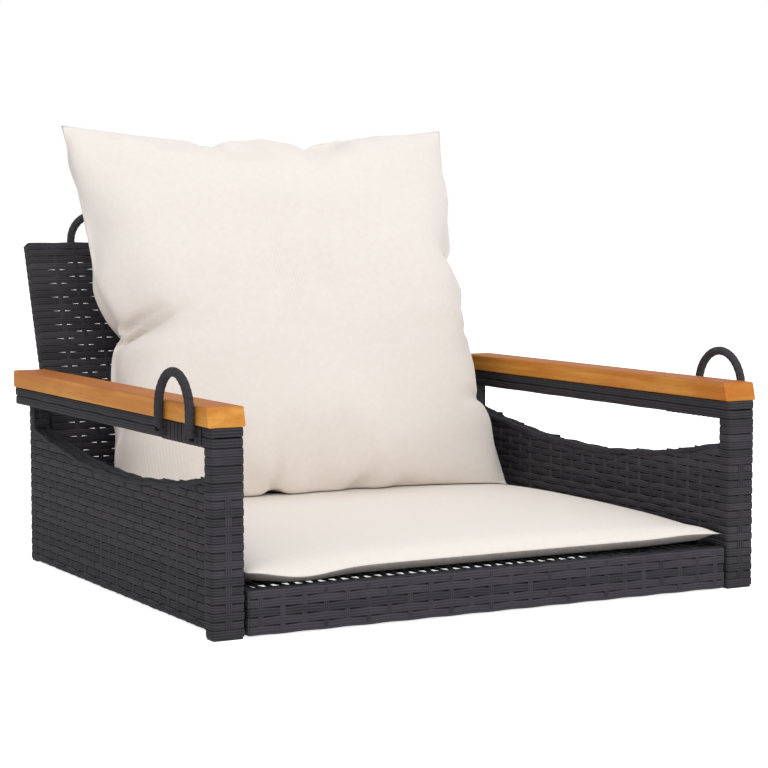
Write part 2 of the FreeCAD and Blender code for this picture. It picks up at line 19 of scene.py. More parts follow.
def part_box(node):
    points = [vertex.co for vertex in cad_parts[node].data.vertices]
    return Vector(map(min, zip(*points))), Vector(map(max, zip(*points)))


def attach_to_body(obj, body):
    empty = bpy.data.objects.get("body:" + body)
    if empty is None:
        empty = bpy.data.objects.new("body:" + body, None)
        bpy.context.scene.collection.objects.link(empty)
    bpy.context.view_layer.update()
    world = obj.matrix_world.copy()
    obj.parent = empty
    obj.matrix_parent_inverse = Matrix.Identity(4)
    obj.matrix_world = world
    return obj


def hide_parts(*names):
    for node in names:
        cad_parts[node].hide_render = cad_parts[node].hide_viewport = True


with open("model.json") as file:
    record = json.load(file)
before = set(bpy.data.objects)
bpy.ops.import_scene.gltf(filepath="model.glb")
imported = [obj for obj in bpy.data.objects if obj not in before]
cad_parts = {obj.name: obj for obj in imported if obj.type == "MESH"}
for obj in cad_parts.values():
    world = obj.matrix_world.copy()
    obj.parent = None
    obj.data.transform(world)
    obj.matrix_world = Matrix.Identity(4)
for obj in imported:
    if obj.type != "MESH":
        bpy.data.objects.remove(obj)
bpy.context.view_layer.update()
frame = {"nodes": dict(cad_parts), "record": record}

MM = 0.001
LOG = logging.getLogger("swing_bench")
X_AXIS = np.array((1.0, 0.0, 0.0))
Y_AXIS = np.array((0.0, 1.0, 0.0))
Z_AXIS = np.array((0.0, 0.0, 1.0))

# Sizes that the woven pieces share
STAKE_PITCH = 22.6
MID_SKIN = 1.0
CORNER = 3.0
FRONT_LOOP_Y = -240.0


class Side(Enum):
    """The two arms, by the sign of their X as seen from the front."""

    LEFT = -1
    RIGHT = 1

    @property
    def label(self) -> str:
        """Start of this arm's node names."""
        return self.name.lower()


class Body(Enum):
    """The bodies that pieces ride on."""

    FRAME = "frame"
    SEAT_CUSHION = "seat_cushion"
    BACK_CUSHION = "back_cushion"


def linear(hex_colour: str) -> tuple[float, float, float, float]:
    """Turn an sRGB hex value into a linear colour.

    Args:
        hex_colour: Six hex digits after a hash sign.

    Returns:
        Red, green, blue and an alpha of one.
    """
    values = [int(hex_colour[start : start + 2], 16) / 255 for start in (1, 3, 5)]
    red, green, blue = (v / 12.92 if v <= 0.04045 else ((v + 0.055) / 1.055) ** 2.4 for v in values)
    return red, green, blue, 1.0


def fill_sockets(tree: bpy.types.NodeTree, node: bpy.types.Node, sockets: dict) -> None:
    """Set or link the inputs of a shader node.

    Args:
        tree: Node tree that holds the node.
        node: The node.
        sockets: Input values, or outputs to link from, by the input's name or number.
    """
    for key, value in sockets.items():
        if isinstance(value, bpy.types.NodeSocket):
            tree.links.new(value, node.inputs[key])
        else:
            node.inputs[key].default_value = value


def add_node(tree: bpy.types.NodeTree, kind: str, settings: dict, sockets: dict) -> bpy.types.Node:
    """Add a shader node with its settings and links.

    Args:
        tree: Node tree that takes the node.
        kind: Blender's name for the type of node.
        settings: Node properties by name.
        sockets: Input values, or outputs to link from, by the input's name or number.

    Returns:
        The new node.
    """
    node = tree.nodes.new(kind)
    for name, value in settings.items():
        setattr(node, name, value)
    fill_sockets(tree, node, sockets)
    return node


def new_material(name: str) -> tuple[bpy.types.Material, bpy.types.NodeTree, bpy.types.Node]:
    """Start a material.

    Args:
        name: Name of the material.

    Returns:
        The material, its node tree and its main shader.
    """
    material = bpy.data.materials.new(name)
    material.use_nodes = True
    return material, material.node_tree, material.node_tree.nodes["Principled BSDF"]


def put(name: str, data: bpy.types.ID) -> bpy.types.Object:
    """Put data into the scene as an object.

    Args:
        name: Name of the object.
        data: Its mesh, lamp or camera.

    Returns:
        The object.
    """
    made = bpy.data.objects.new(name, data)
    bpy.context.scene.collection.objects.link(made)
    return made


def new_mesh(name: str, points: np.ndarray, faces: np.ndarray) -> bpy.types.Mesh:
    """Make a mesh in metres.

    Args:
        name: Name of the mesh.
        points: Its points in millimetres.
        faces: Numbers of the points round each face.

    Returns:
        The mesh.
    """
    mesh = bpy.data.meshes.new(name)
    mesh.from_pydata((points * MM).tolist(), [], faces.tolist())
    return mesh


def mesh_points(mesh: bpy.types.Mesh) -> np.ndarray:
    """Points of a mesh.

    Args:
        mesh: The mesh, in metres.

    Returns:
        Its points in millimetres.
    """
    values = np.zeros(len(mesh.vertices) * 3, np.float32)
    mesh.vertices.foreach_get("co", values)
    return values.reshape(-1, 3).astype(float) / MM


def set_values(mesh: bpy.types.Mesh, label: str, values: np.ndarray, part: str = "POINT") -> None:
    """Store a number for each point or edge of a mesh.

    Args:
        mesh: The mesh.
        label: Name of the numbers.
        values: The numbers, in order.
        part: What they belong to, in Blender's terms.
    """
    layer = mesh.attributes.new(label, "FLOAT", part)
    layer.data.foreach_set("value", values.astype(np.float32))


def node_box(node: str) -> tuple[np.ndarray, np.ndarray]:
    """Box of a CAD node.

    Args:
        node: Name of the node.

    Returns:
        Lowest and highest corner in millimetres.
    """
    low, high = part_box(node)
    return np.array(low) / MM, np.array(high) / MM


def alternate(index: int) -> int:
    """Minus one for the first, third and every other row after them, and one for those between."""
    return 1 if index % 2 else -1


def lean_axes(degrees: float) -> tuple[np.ndarray, np.ndarray]:
    """Directions of something that leans back.

    Args:
        degrees: Its angle from upright.

    Returns:
        Its own up and forward directions.
    """
    sine, cosine = math.sin(math.radians(degrees)), math.cos(math.radians(degrees))
    return np.array((0.0, sine, cosine)), np.array((0.0, -cosine, sine))


@dataclass(frozen=True)
class StrandFinish:
    """Extruded polyethylene wicker strand, ribbed along its length by the die."""

    name: str = "polyethylene_wicker_extruded"
    dark: str = "#2f2e31"
    light: str = "#4d4b4f"
    ridge_count: float = 3.0
    ridge_height: float = 0.12
    ridge_strength: float = 0.7
    ridge_tint: float = 0.3
    mottle_size: float = 26.0
    mottle_detail: float = 3.0
    mottle_tint: float = 0.5
    roughness: tuple[float, float] = (0.64, 0.8)
    ior: float = 1.51
    shine: float = 0.05

    def make(self) -> bpy.types.Material:
        """Build the material: a satin charcoal with painted lines of light on its ridges and painted shade in
        its grooves.

        Returns:
            The material.
        """
        material, tree, shader = new_material(self.name)
        place = add_node(tree, "ShaderNodeTexCoord", {}, {}).outputs["Object"]
        across, tone = (
            add_node(tree, "ShaderNodeAttribute", {"attribute_name": label}, {}).outputs["Fac"]
            for label in ("across", "tone")
        )
        pattern = {"Vector": place, "Scale": 1 / (self.mottle_size * MM), "Detail": self.mottle_detail}
        mottle = add_node(tree, "ShaderNodeTexNoise", {}, pattern).outputs["Fac"]
        mixing = {"operation": "MULTIPLY_ADD"}
        blend = add_node(tree, "ShaderNodeMath", mixing, {0: mottle, 1: self.mottle_tint, 2: tone})
        phase = {0: across, 1: math.pi * self.ridge_count}
        turn = add_node(tree, "ShaderNodeMath", {"operation": "MULTIPLY"}, phase)
        ridge = add_node(tree, "ShaderNodeMath", {"operation": "COSINE"}, {0: turn.outputs[0]}).outputs[0]
        # Painted highlight: the colour is made lighter on the ridge tops and darker in the grooves
        ridge_light_sockets = {0: ridge, 1: self.ridge_tint, 2: blend.outputs[0]}
        ridge_lit = add_node(tree, "ShaderNodeMath", mixing, ridge_light_sockets)
        tints = {0: ridge_lit.outputs[0], 6: linear(self.dark), 7: linear(self.light)}
        colour = add_node(tree, "ShaderNodeMix", {"data_type": "RGBA"}, tints)
        relief = {"Strength": self.ridge_strength, "Distance": self.ridge_height * MM, "Height": ridge}
        bump = add_node(tree, "ShaderNodeBump", {}, relief)
        smooth, rough = self.roughness
        gloss = add_node(tree, "ShaderNodeMapRange", {}, {"Value": mottle, "To Min": smooth, "To Max": rough})
        fill_sockets(tree, shader, {
            "Base Color": colour.outputs[2],
            "Roughness": gloss.outputs["Result"],
            "Normal": bump.outputs["Normal"],
            "IOR": self.ior,
            "Specular IOR Level": self.shine,
        })
        return material


@dataclass(frozen=True)
class BoardFinish:
    """Acacia, planed along the grain and oiled."""

    name: str = "acacia_planed_oiled"
    pale: str = "#dd9c48"
    warm: str = "#cb8231"
    dark: str = "#a2561d"
    red: str = "#b5611d"
    # Painted shade for the board's upward-facing surfaces
    weathered: str = "#9a5526"
    ring_spread: float = 3.0
    distortion: float = 0.25
    grain_width: float = 9.0
    grain_length: float = 210.0
    grain_detail: float = 5.0
    grain_range: tuple[float, float] = (0.34, 0.66)
    patch_width: float = 45.0
    patch_length: float = 120.0
    patch_detail: float = 3.0
    patch_range: tuple[float, float] = (0.42, 0.68)
    patch_share: float = 0.45
    upper_range: tuple[float, float] = (0.3, 0.9)
    upper_share: float = 0.7
    pore_width: float = 1.1
    pore_length: float = 22.0
    pore_detail: float = 2.0
    pore_range: tuple[float, float] = (0.6, 0.75)
    pore_share: float = 0.55
    pore_depth: float = 0.2
    pore_strength: float = 0.35
    roughness: tuple[float, float] = (0.5, 0.7)
    ior: float = 1.47
    shine: float = 0.2

    def make(self) -> bpy.types.Material:
        """Build the material: long honey streaks, fine dark pores and a low oil sheen.

        Returns:
            The material.
        """
        material, tree, shader = new_material(self.name)
        place = add_node(tree, "ShaderNodeTexCoord", {}, {})
        noises = []
        for width, length, detail in (
            (self.grain_width, self.grain_length, self.grain_detail),
            (self.pore_width, self.pore_length, self.pore_detail),
            (self.patch_width, self.patch_length, self.patch_detail),
        ):
            stretch = (1 / (width * self.ring_spread * MM), 1 / (length * MM), 1 / (width * MM))
            drawn_out = {"Vector": place.outputs["Object"], "Scale": stretch}
            scaled = add_node(tree, "ShaderNodeMapping", {}, drawn_out).outputs["Vector"]
            pattern = {"Vector": scaled, "Scale": 1.0, "Detail": detail, "Distortion": self.distortion}
            noises.append(add_node(tree, "ShaderNodeTexNoise", {}, pattern).outputs["Fac"])
        grain, pores, patches = noises
        facing = add_node(tree, "ShaderNodeSeparateXYZ", {}, {0: place.outputs["Normal"]}).outputs["Z"]
        # Heartwood shows as broad redder patches, and the upper face is painted darker, a painted shade for
        # the dark reflection it shows at a grazing view.
        colour = linear(self.warm)
        for source, (start, full), most, tint, blend in (
            (grain, self.grain_range, 1.0, self.pale, "SMOOTHSTEP"),
            (patches, self.patch_range, self.patch_share, self.red, "SMOOTHSTEP"),
            (facing, self.upper_range, self.upper_share, self.weathered, "SMOOTHSTEP"),
            (pores, self.pore_range, self.pore_share, self.dark, "LINEAR"),
        ):
            limits = {"Value": source, "From Min": start, "From Max": full, "To Max": most}
            share = add_node(tree, "ShaderNodeMapRange", {"interpolation_type": blend}, limits)
            tints = {0: share.outputs["Result"], 6: colour, 7: linear(tint)}
            colour = add_node(tree, "ShaderNodeMix", {"data_type": "RGBA"}, tints).outputs[2]
        relief = {"Strength": self.pore_strength, "Distance": self.pore_depth * MM, "Height": pores}
        bump = add_node(tree, "ShaderNodeBump", {"invert": True}, relief)
        smooth, rough = self.roughness
        gloss = add_node(tree, "ShaderNodeMapRange", {}, {"Value": grain, "To Min": smooth, "To Max": rough})
        fill_sockets(tree, shader, {
            "Base Color": colour,
            "Roughness": gloss.outputs["Result"],
            "Normal": bump.outputs["Normal"],
            "IOR": self.ior,
            "Specular IOR Level": self.shine,
        })
        return material


@dataclass(frozen=True)
class FabricFinish:
    """Plain-woven polyester canvas with a faint rib along the warp."""

    name: str
    light: str
    dark: str
    rib_spacing: float = 3.4
    thread_spacing: float = 1.7
    thread_share: float = 0.4
    thread_height: float = 0.18
    thread_strength: float = 0.16
    slub_size: float = 7.0
    slub_detail: float = 6.0
    slub_share: float = 2.0
    slub_range: tuple[float, float] = (0.3, 0.7)
    roughness: float = 0.9
    ior: float = 1.5
    sheen: float = 0.15
    sheen_roughness: float = 0.5

    def make(self) -> bpy.types.Material:
        """Build the material: a dull cloth whose ribs and slubs break the light a little.

        The threads are about 0.5 mm apart in such canvas; they are drawn coarser so that they show.

        Returns:
            The material.
        """
        material, tree, shader = new_material(self.name)
        place = add_node(tree, "ShaderNodeTexCoord", {}, {}).outputs["Object"]
        waves = []
        for attribute, spacing in (("warp", self.rib_spacing), ("weft", self.thread_spacing)):
            source = add_node(tree, "ShaderNodeAttribute", {"attribute_name": attribute}, {}).outputs["Fac"]
            phase = {0: source, 1: 2 * math.pi / spacing}
            turn = add_node(tree, "ShaderNodeMath", {"operation": "MULTIPLY"}, phase).outputs[0]
            waves.append(add_node(tree, "ShaderNodeMath", {"operation": "SINE"}, {0: turn}).outputs[0])
        rib, thread = waves
        pattern = {"Vector": place, "Scale": 1 / (self.slub_size * MM), "Detail": self.slub_detail}
        slub = add_node(tree, "ShaderNodeTexNoise", {}, pattern).outputs["Fac"]
        height = rib
        for source, share in ((thread, self.thread_share), (slub, self.slub_share)):
            layer = {0: source, 1: share, 2: height}
            height = add_node(tree, "ShaderNodeMath", {"operation": "MULTIPLY_ADD"}, layer).outputs[0]
        start, full = self.slub_range
        limits = {"Value": slub, "From Min": start, "From Max": full}
        tint = add_node(tree, "ShaderNodeMapRange", {}, limits).outputs["Result"]
        tints = {0: tint, 6: linear(self.dark), 7: linear(self.light)}
        colour = add_node(tree, "ShaderNodeMix", {"data_type": "RGBA"}, tints)
        relief = {"Strength": self.thread_strength, "Distance": self.thread_height * MM, "Height": height}
        bump = add_node(tree, "ShaderNodeBump", {}, relief)
        fill_sockets(tree, shader, {
            "Base Color": colour.outputs[2],
            "Normal": bump.outputs["Normal"],
            "Roughness": self.roughness,
            "IOR": self.ior,
            "Sheen Weight": self.sheen,
            "Sheen Roughness": self.sheen_roughness,
        })
        return material


@dataclass(frozen=True)
class GrainedFinish:
    """A hard surface with a fine grain: powder coat, moulded plastic or zinc plate."""

    name: str
    dark: str
    light: str
    metallic: float
    roughness: tuple[float, float]
    grain_size: float
    grain_height: float
    grain_detail: float = 4.0
    grain_strength: float = 0.4

    def make(self) -> bpy.types.Material:
        """Build the material: an even colour with a grain that softens its highlight.

        Returns:
            The material.
        """
        material, tree, shader = new_material(self.name)
        place = add_node(tree, "ShaderNodeTexCoord", {}, {}).outputs["Object"]
        pattern = {"Vector": place, "Scale": 1 / (self.grain_size * MM), "Detail": self.grain_detail}
        grain = add_node(tree, "ShaderNodeTexNoise", {}, pattern).outputs["Fac"]
        tints = {0: grain, 6: linear(self.dark), 7: linear(self.light)}
        colour = add_node(tree, "ShaderNodeMix", {"data_type": "RGBA"}, tints)
        smooth, rough = self.roughness
        gloss = add_node(tree, "ShaderNodeMapRange", {}, {"Value": grain, "To Min": smooth, "To Max": rough})
        relief = {"Strength": self.grain_strength, "Distance": self.grain_height * MM, "Height": grain}
        bump = add_node(tree, "ShaderNodeBump", {}, relief)
        fill_sockets(tree, shader, {
            "Base Color": colour.outputs[2],
            "Roughness": gloss.outputs["Result"],
            "Normal": bump.outputs["Normal"],
            "Metallic": self.metallic,
        })
        return material


COVER = FabricFinish("polyester_canvas_woven_cream", "#f0e9e1", "#ede5dc")
# Painted shade: this grey cloth stands partly for the cream cover's underside in shadow
SHADE_GREY_CLOTH = FabricFinish("polyester_lining_woven_grey", "#948e86", "#85807a")
STEEL = GrainedFinish("steel_powder_coated_black", "#1d1d1f", "#29292b", 0.0, (0.42, 0.6), 1.6, 0.05)
PLUG = GrainedFinish("polypropylene_moulded_black", "#171718", "#222224", 0.0, (0.55, 0.75), 0.9, 0.06)
ZINC = GrainedFinish("steel_zinc_plated", "#b4b6b8", "#cfd1d2", 1.0, (0.28, 0.45), 2.4, 0.02)


@dataclass
class Finishes:
    """The materials of the bench, built once and shared."""

    # The die leaves ribs along the strand; their thin lines of light are painted into the colour as well as
    # bumped
    strand: bpy.types.Material = field(default_factory=StrandFinish().make)
    # Oil brings out the honey colour of planed wood and leaves a low sheen
    board: bpy.types.Material = field(default_factory=BoardFinish().make)
    # Canvas scatters the light, so the cloth looks dull and only its folds show
    cover: bpy.types.Material = field(default_factory=COVER.make)
    # The underside cloth is the cover's weave in grey, dull too; its grey is partly painted shade for the
    # cushion's shadowed underside
    lining: bpy.types.Material = field(default_factory=SHADE_GREY_CLOTH.make)
    # Powder coat cures with a fine orange peel, so its highlight is soft and broken
    steel: bpy.types.Material = field(default_factory=STEEL.make)
    # The mould's spark-eroded grain leaves polypropylene dull and even
    plug: bpy.types.Material = field(default_factory=PLUG.make)
    # Zinc plate crystallises in small spangles, so its shine is slightly clouded
    zinc: bpy.types.Material = field(default_factory=ZINC.make)


@dataclass(frozen=True)
class Track:
    """A line that strands follow, with the outward direction at each of its points."""

    points: np.ndarray
    outward: np.ndarray
    closed: bool = False

    # Places nearer to one another than this count as one
    SAME_PLACE = 0.05

    @property
    def reach(self) -> np.ndarray:
        """Distance along the line to each of its points."""
        return np.concatenate(([0.0], np.cumsum(np.linalg.norm(np.diff(self.points, axis=0), axis=1))))

    @property
    def length(self) -> float:
        """Length of the line."""
        return float(self.reach[-1])

    def at(self, distances: np.ndarray) -> tuple[np.ndarray, np.ndarray]:
        """Places along the line.

        Args:
            distances: Distances from its start.

        Returns:
            Points and unit outward directions.
        """
        reach = self.reach
        points = np.stack([np.interp(distances, reach, row) for row in self.points.T], axis=1)
        outs = np.stack([np.interp(distances, reach, row) for row in self.outward.T], axis=1)
        return points, outs / np.linalg.norm(outs, axis=1, keepdims=True)

    def place(self, distance: float) -> tuple[np.ndarray, np.ndarray]:
        """Point and unit outward direction at one distance from the start."""
        points, outs = self.at(np.array([distance]))
        return points[0], outs[0]

    def steps(self, start: float, end: float, step: float) -> np.ndarray:
        """Distances to sample between two places.

        Args:
            start: First distance.
            end: Last distance.
            step: Largest step.

        Returns:
            Even steps and the track's own bends, in order, without a closed track's end.
        """
        even = np.linspace(start, end, max(2, math.ceil((end - start) / step) + 1))
        reach = self.reach
        own = reach[(reach > start) & (reach < end)]
        merged = np.sort(np.concatenate((even, own)))
        kept = merged[np.concatenate(([True], np.diff(merged) > self.SAME_PLACE))]
        return kept[:-1] if self.closed else kept


def straight_track(start: Sequence[float], end: Sequence[float], outward: Sequence[float]) -> Track:
    """Track along a straight line.

    Args:
        start: First point.
        end: Last point.
        outward: Direction away from what the strands lie on.

    Returns:
        The track.
    """
    return Track(np.array((start, end), float), np.array((outward, outward), float))


def bent_track(
    corners: Sequence[Sequence[float]], radius: float, closed: bool = False, bend_points: int = 6
) -> Track:
    """Track along straight runs that turn the same way through rounded corners.

    Args:
        corners: Points of the sharp line; a closed one starts in the middle of its last run.
        radius: Radius of the corners.
        closed: Whether the line returns to its start.
        bend_points: Points round each corner.

    Returns:
        The track.
    """
    knots = np.array(corners, float)
    if closed:
        middle = (knots[-1] + knots[0]) / 2
        knots = np.concatenate(([middle], knots, [middle]))
    runs = np.diff(knots, axis=0)
    runs /= np.linalg.norm(runs, axis=1, keepdims=True)
    points, outs = [knots[0]], [-runs[1]]
    for corner, before, after in zip(knots[1:-1], runs[:-1], runs[1:]):
        centre = corner + radius * (after - before)
        for angle in np.linspace(0.0, math.pi / 2, bend_points):
            out = before * math.sin(angle) - after * math.cos(angle)
            points.append(centre + radius * out)
            outs.append(out)
    points.append(knots[-1])
    outs.append(runs[-2])
    return Track(np.array(points), np.array(outs), closed)


def level_corners(xs: Sequence[float], ys: Sequence[float]) -> list[tuple[float, float, float]]:
    """Corners of a level line that runs along the first X, across, and back along the second X.

    Args:
        xs: First and second X.
        ys: Y where the line starts and ends, and Y where it crosses.

    Returns:
        Four corners at height zero.
    """
    (first, second), (start, turn) = xs, ys
    return [(first, start, 0.0), (first, turn, 0.0), (second, turn, 0.0), (second, start, 0.0)]


@dataclass(frozen=True)
class Strand:
    """Section of a flat extruded strand with a slightly crowned face, ridged or plain."""

    width: float
    thickness: float
    ridged: bool = True

    def section(self) -> np.ndarray:
        """Lay out the eight corners of the section.

        Returns:
            Distances across the strand and outward, in order round it.
        """
        shares = ((-0.5, -0.12), (-0.41, 0.34), (0.0, 0.5), (0.41, 0.34))
        shares += ((0.5, -0.12), (0.38, -0.5), (0.0, -0.5), (-0.38, -0.5))
        return np.array(shares) * (self.width, self.thickness)


def attach(piece: bpy.types.Object, body: Body, nodes: Sequence[str]) -> None:
    """Fix a piece to its body in place of its CAD nodes and report it.

    Args:
        piece: The object.
        body: Body that carries it.
        nodes: CAD nodes that it replaces.
    """
    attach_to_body(piece, body.value)
    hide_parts(*nodes)
    LOG.info("%s: %d vertices on %s", piece.name, len(piece.data.vertices), body.value)


class Skein:
    """Strands gathered into one mesh, each with its own coordinates for the finish."""

    # Faces that close the end of a strand, by the numbers of its section's corners
    CAP = np.array(((0, 1, 2, 3), (0, 3, 4, 7), (4, 5, 6, 7)))
    # Share across a strand where the ridges of the finish are neither high nor low
    PLAIN_SHARE = 1 / 6
    TONE_SPREAD = 0.45

    def __init__(self, seed: int) -> None:
        """Start with no strands.

        Args:
            seed: Start of the spread of tones.
        """
        self.random = np.random.default_rng(seed)
        self.rings: list[np.ndarray] = []
        self.quads: list[np.ndarray] = []
        self.across: list[np.ndarray] = []
        self.tone: list[np.ndarray] = []
        self.count = 0

    def lay(
        self, points: np.ndarray, sides: np.ndarray, outs: np.ndarray, strand: Strand, closed: bool = False
    ) -> None:
        """Lay one strand.

        Args:
            points: Middle line of the strand.
            sides: Direction across the strand at each point.
            outs: Direction of its face at each point.
            strand: Section of the strand.
            closed: Whether it returns to its start.
        """
        section = strand.section()
        sides = np.broadcast_to(sides, points.shape)
        outs = np.broadcast_to(outs, points.shape)
        ring = points[:, None] + section[None, :, :1] * sides[:, None] + section[None, :, 1:] * outs[:, None]
        size = ring.shape[0] * ring.shape[1]
        index = self.count + np.arange(size).reshape(ring.shape[:2])
        first, second = (index, np.roll(index, -1, 0)) if closed else (index[:-1], index[1:])
        walls = np.stack((first, np.roll(first, -1, 1), np.roll(second, -1, 1), second), -1)
        faces = [walls.reshape(-1, 4)]
        if not closed:
            faces += [index[0][self.CAP][:, ::-1], index[-1][self.CAP]]
        quads = np.concatenate(faces)
        handed = np.dot(np.cross(sides[0], outs[0]), points[1] - points[0])
        self.rings.append(ring.reshape(-1, 3))
        self.quads.append(quads if handed < 0 else quads[:, ::-1])
        plain = np.full(len(section), self.PLAIN_SHARE)
        across = section[:, 0] / (strand.width / 2) if strand.ridged else plain
        self.across.append(np.tile(across, len(points)))
        self.tone.append(np.full(size, self.random.uniform(0.0, self.TONE_SPREAD)))
        self.count += size

    def fix(self, name: str, material: bpy.types.Material, node: str) -> None:
        """Turn the strands into a piece of the frame.

        Args:
            name: Name of the piece.
            material: Finish of the strands.
            node: CAD node that it replaces.
        """
        mesh = new_mesh(name, np.concatenate(self.rings), np.concatenate(self.quads))
        set_values(mesh, "across", np.concatenate(self.across))
        set_values(mesh, "tone", np.concatenate(self.tone))
        mesh.shade_smooth()
        mesh.materials.append(material)
        attach(put(name, mesh), Body.FRAME, [node])


@dataclass(frozen=True)
class Weave:
    """Plain weave: rows pass before and behind the stakes in turn, and crowd together at each crossing."""

    row: Strand = Strand(7.95, 1.2)
    stake: Strand = Strand(6.2, 1.0)
    bias: float = 0.0
    swing: float = 0.44
    crowd: float = 0.36
    step: float = 6.0
    stake_step: float = 40.0

    def lay_row(
        self,
        skein: Skein,
        track: Track,
        axis: np.ndarray,
        level: float,
        stakes: np.ndarray,
        turn: int,
        span: tuple[float, float] | None = None,
        fade: float = 0.0,
    ) -> None:
        """Weave one row along a track.

        Args:
            skein: Mesh that takes the row.
            track: Line of the row at level zero.
            axis: Direction from row to row.
            level: Height of the row along the axis.
            stakes: Distances of the stakes along the track.
            turn: One where the row starts in front of the first stake, or minus one behind it.
            span: Part of the track that the row covers, or the whole.
            fade: Distance past the end stakes over which the weave goes flat.
        """
        reach = track.steps(*(span or (0.0, track.length)), self.step)
        points, outs = track.at(reach)
        wave = turn * np.cos(np.pi * np.interp(reach, stakes, np.arange(len(stakes))))
        if fade:
            past = np.maximum(stakes[0] - reach, reach - stakes[-1])
            wave *= np.clip(1.0 - past / fade, 0.0, 1.0)
        middle = points + outs * (self.bias + self.swing * wave)[:, None]
        middle = middle + axis * (level + self.crowd * wave)[:, None]
        skein.lay(middle, axis, outs, self.row, track.closed)

    def lay_edge(
        self,
        skein: Skein,
        ends: tuple[float, float],
        place: tuple[float, float],
        out: np.ndarray,
        axis: np.ndarray,
        stake_xs: np.ndarray,
        turn: int,
    ) -> None:
        """Weave one straight row from side to side.

        Args:
            skein: Mesh that takes the row.
            ends: X of its ends.
            place: Its Y and Z.
            out: Direction of its face.
            axis: Direction across it.
            stake_xs: X of the stakes.
            turn: One where the row starts in front of the first stake, or minus one behind it.
        """
        line = straight_track((ends[0], *place), (ends[1], *place), out)
        self.lay_row(skein, line, axis, 0.0, stake_xs - ends[0], turn)

    def lay_stake(self, skein: Skein, track: Track, side: np.ndarray, lift: float = 0.0) -> None:
        """Lay one stake along a track.

        Args:
            skein: Mesh that takes the stake.
            track: Line of the stake.
            side: Direction across the stake.
            lift: Distance that it stands further out.
        """
        points, outs = track.at(track.steps(0.0, track.length, self.stake_step))
        skein.lay(points + outs * (self.bias + lift), side, outs, self.stake, track.closed)

    def stand_stake(self, skein: Skein, track: Track, distance: float, foot: float, top: float) -> None:
        """Stand one stake upright on a level track.

        Args:
            skein: Mesh that takes the stake.
            track: Line that the rows follow.
            distance: Place of the stake along it.
            foot: Height of the stake's lower end.
            top: Height of its upper end.
        """
        (x, y, _), out = track.place(distance)
        self.lay_stake(skein, straight_track((x, y, foot), (x, y, top), out), np.cross(out, Z_AXIS))


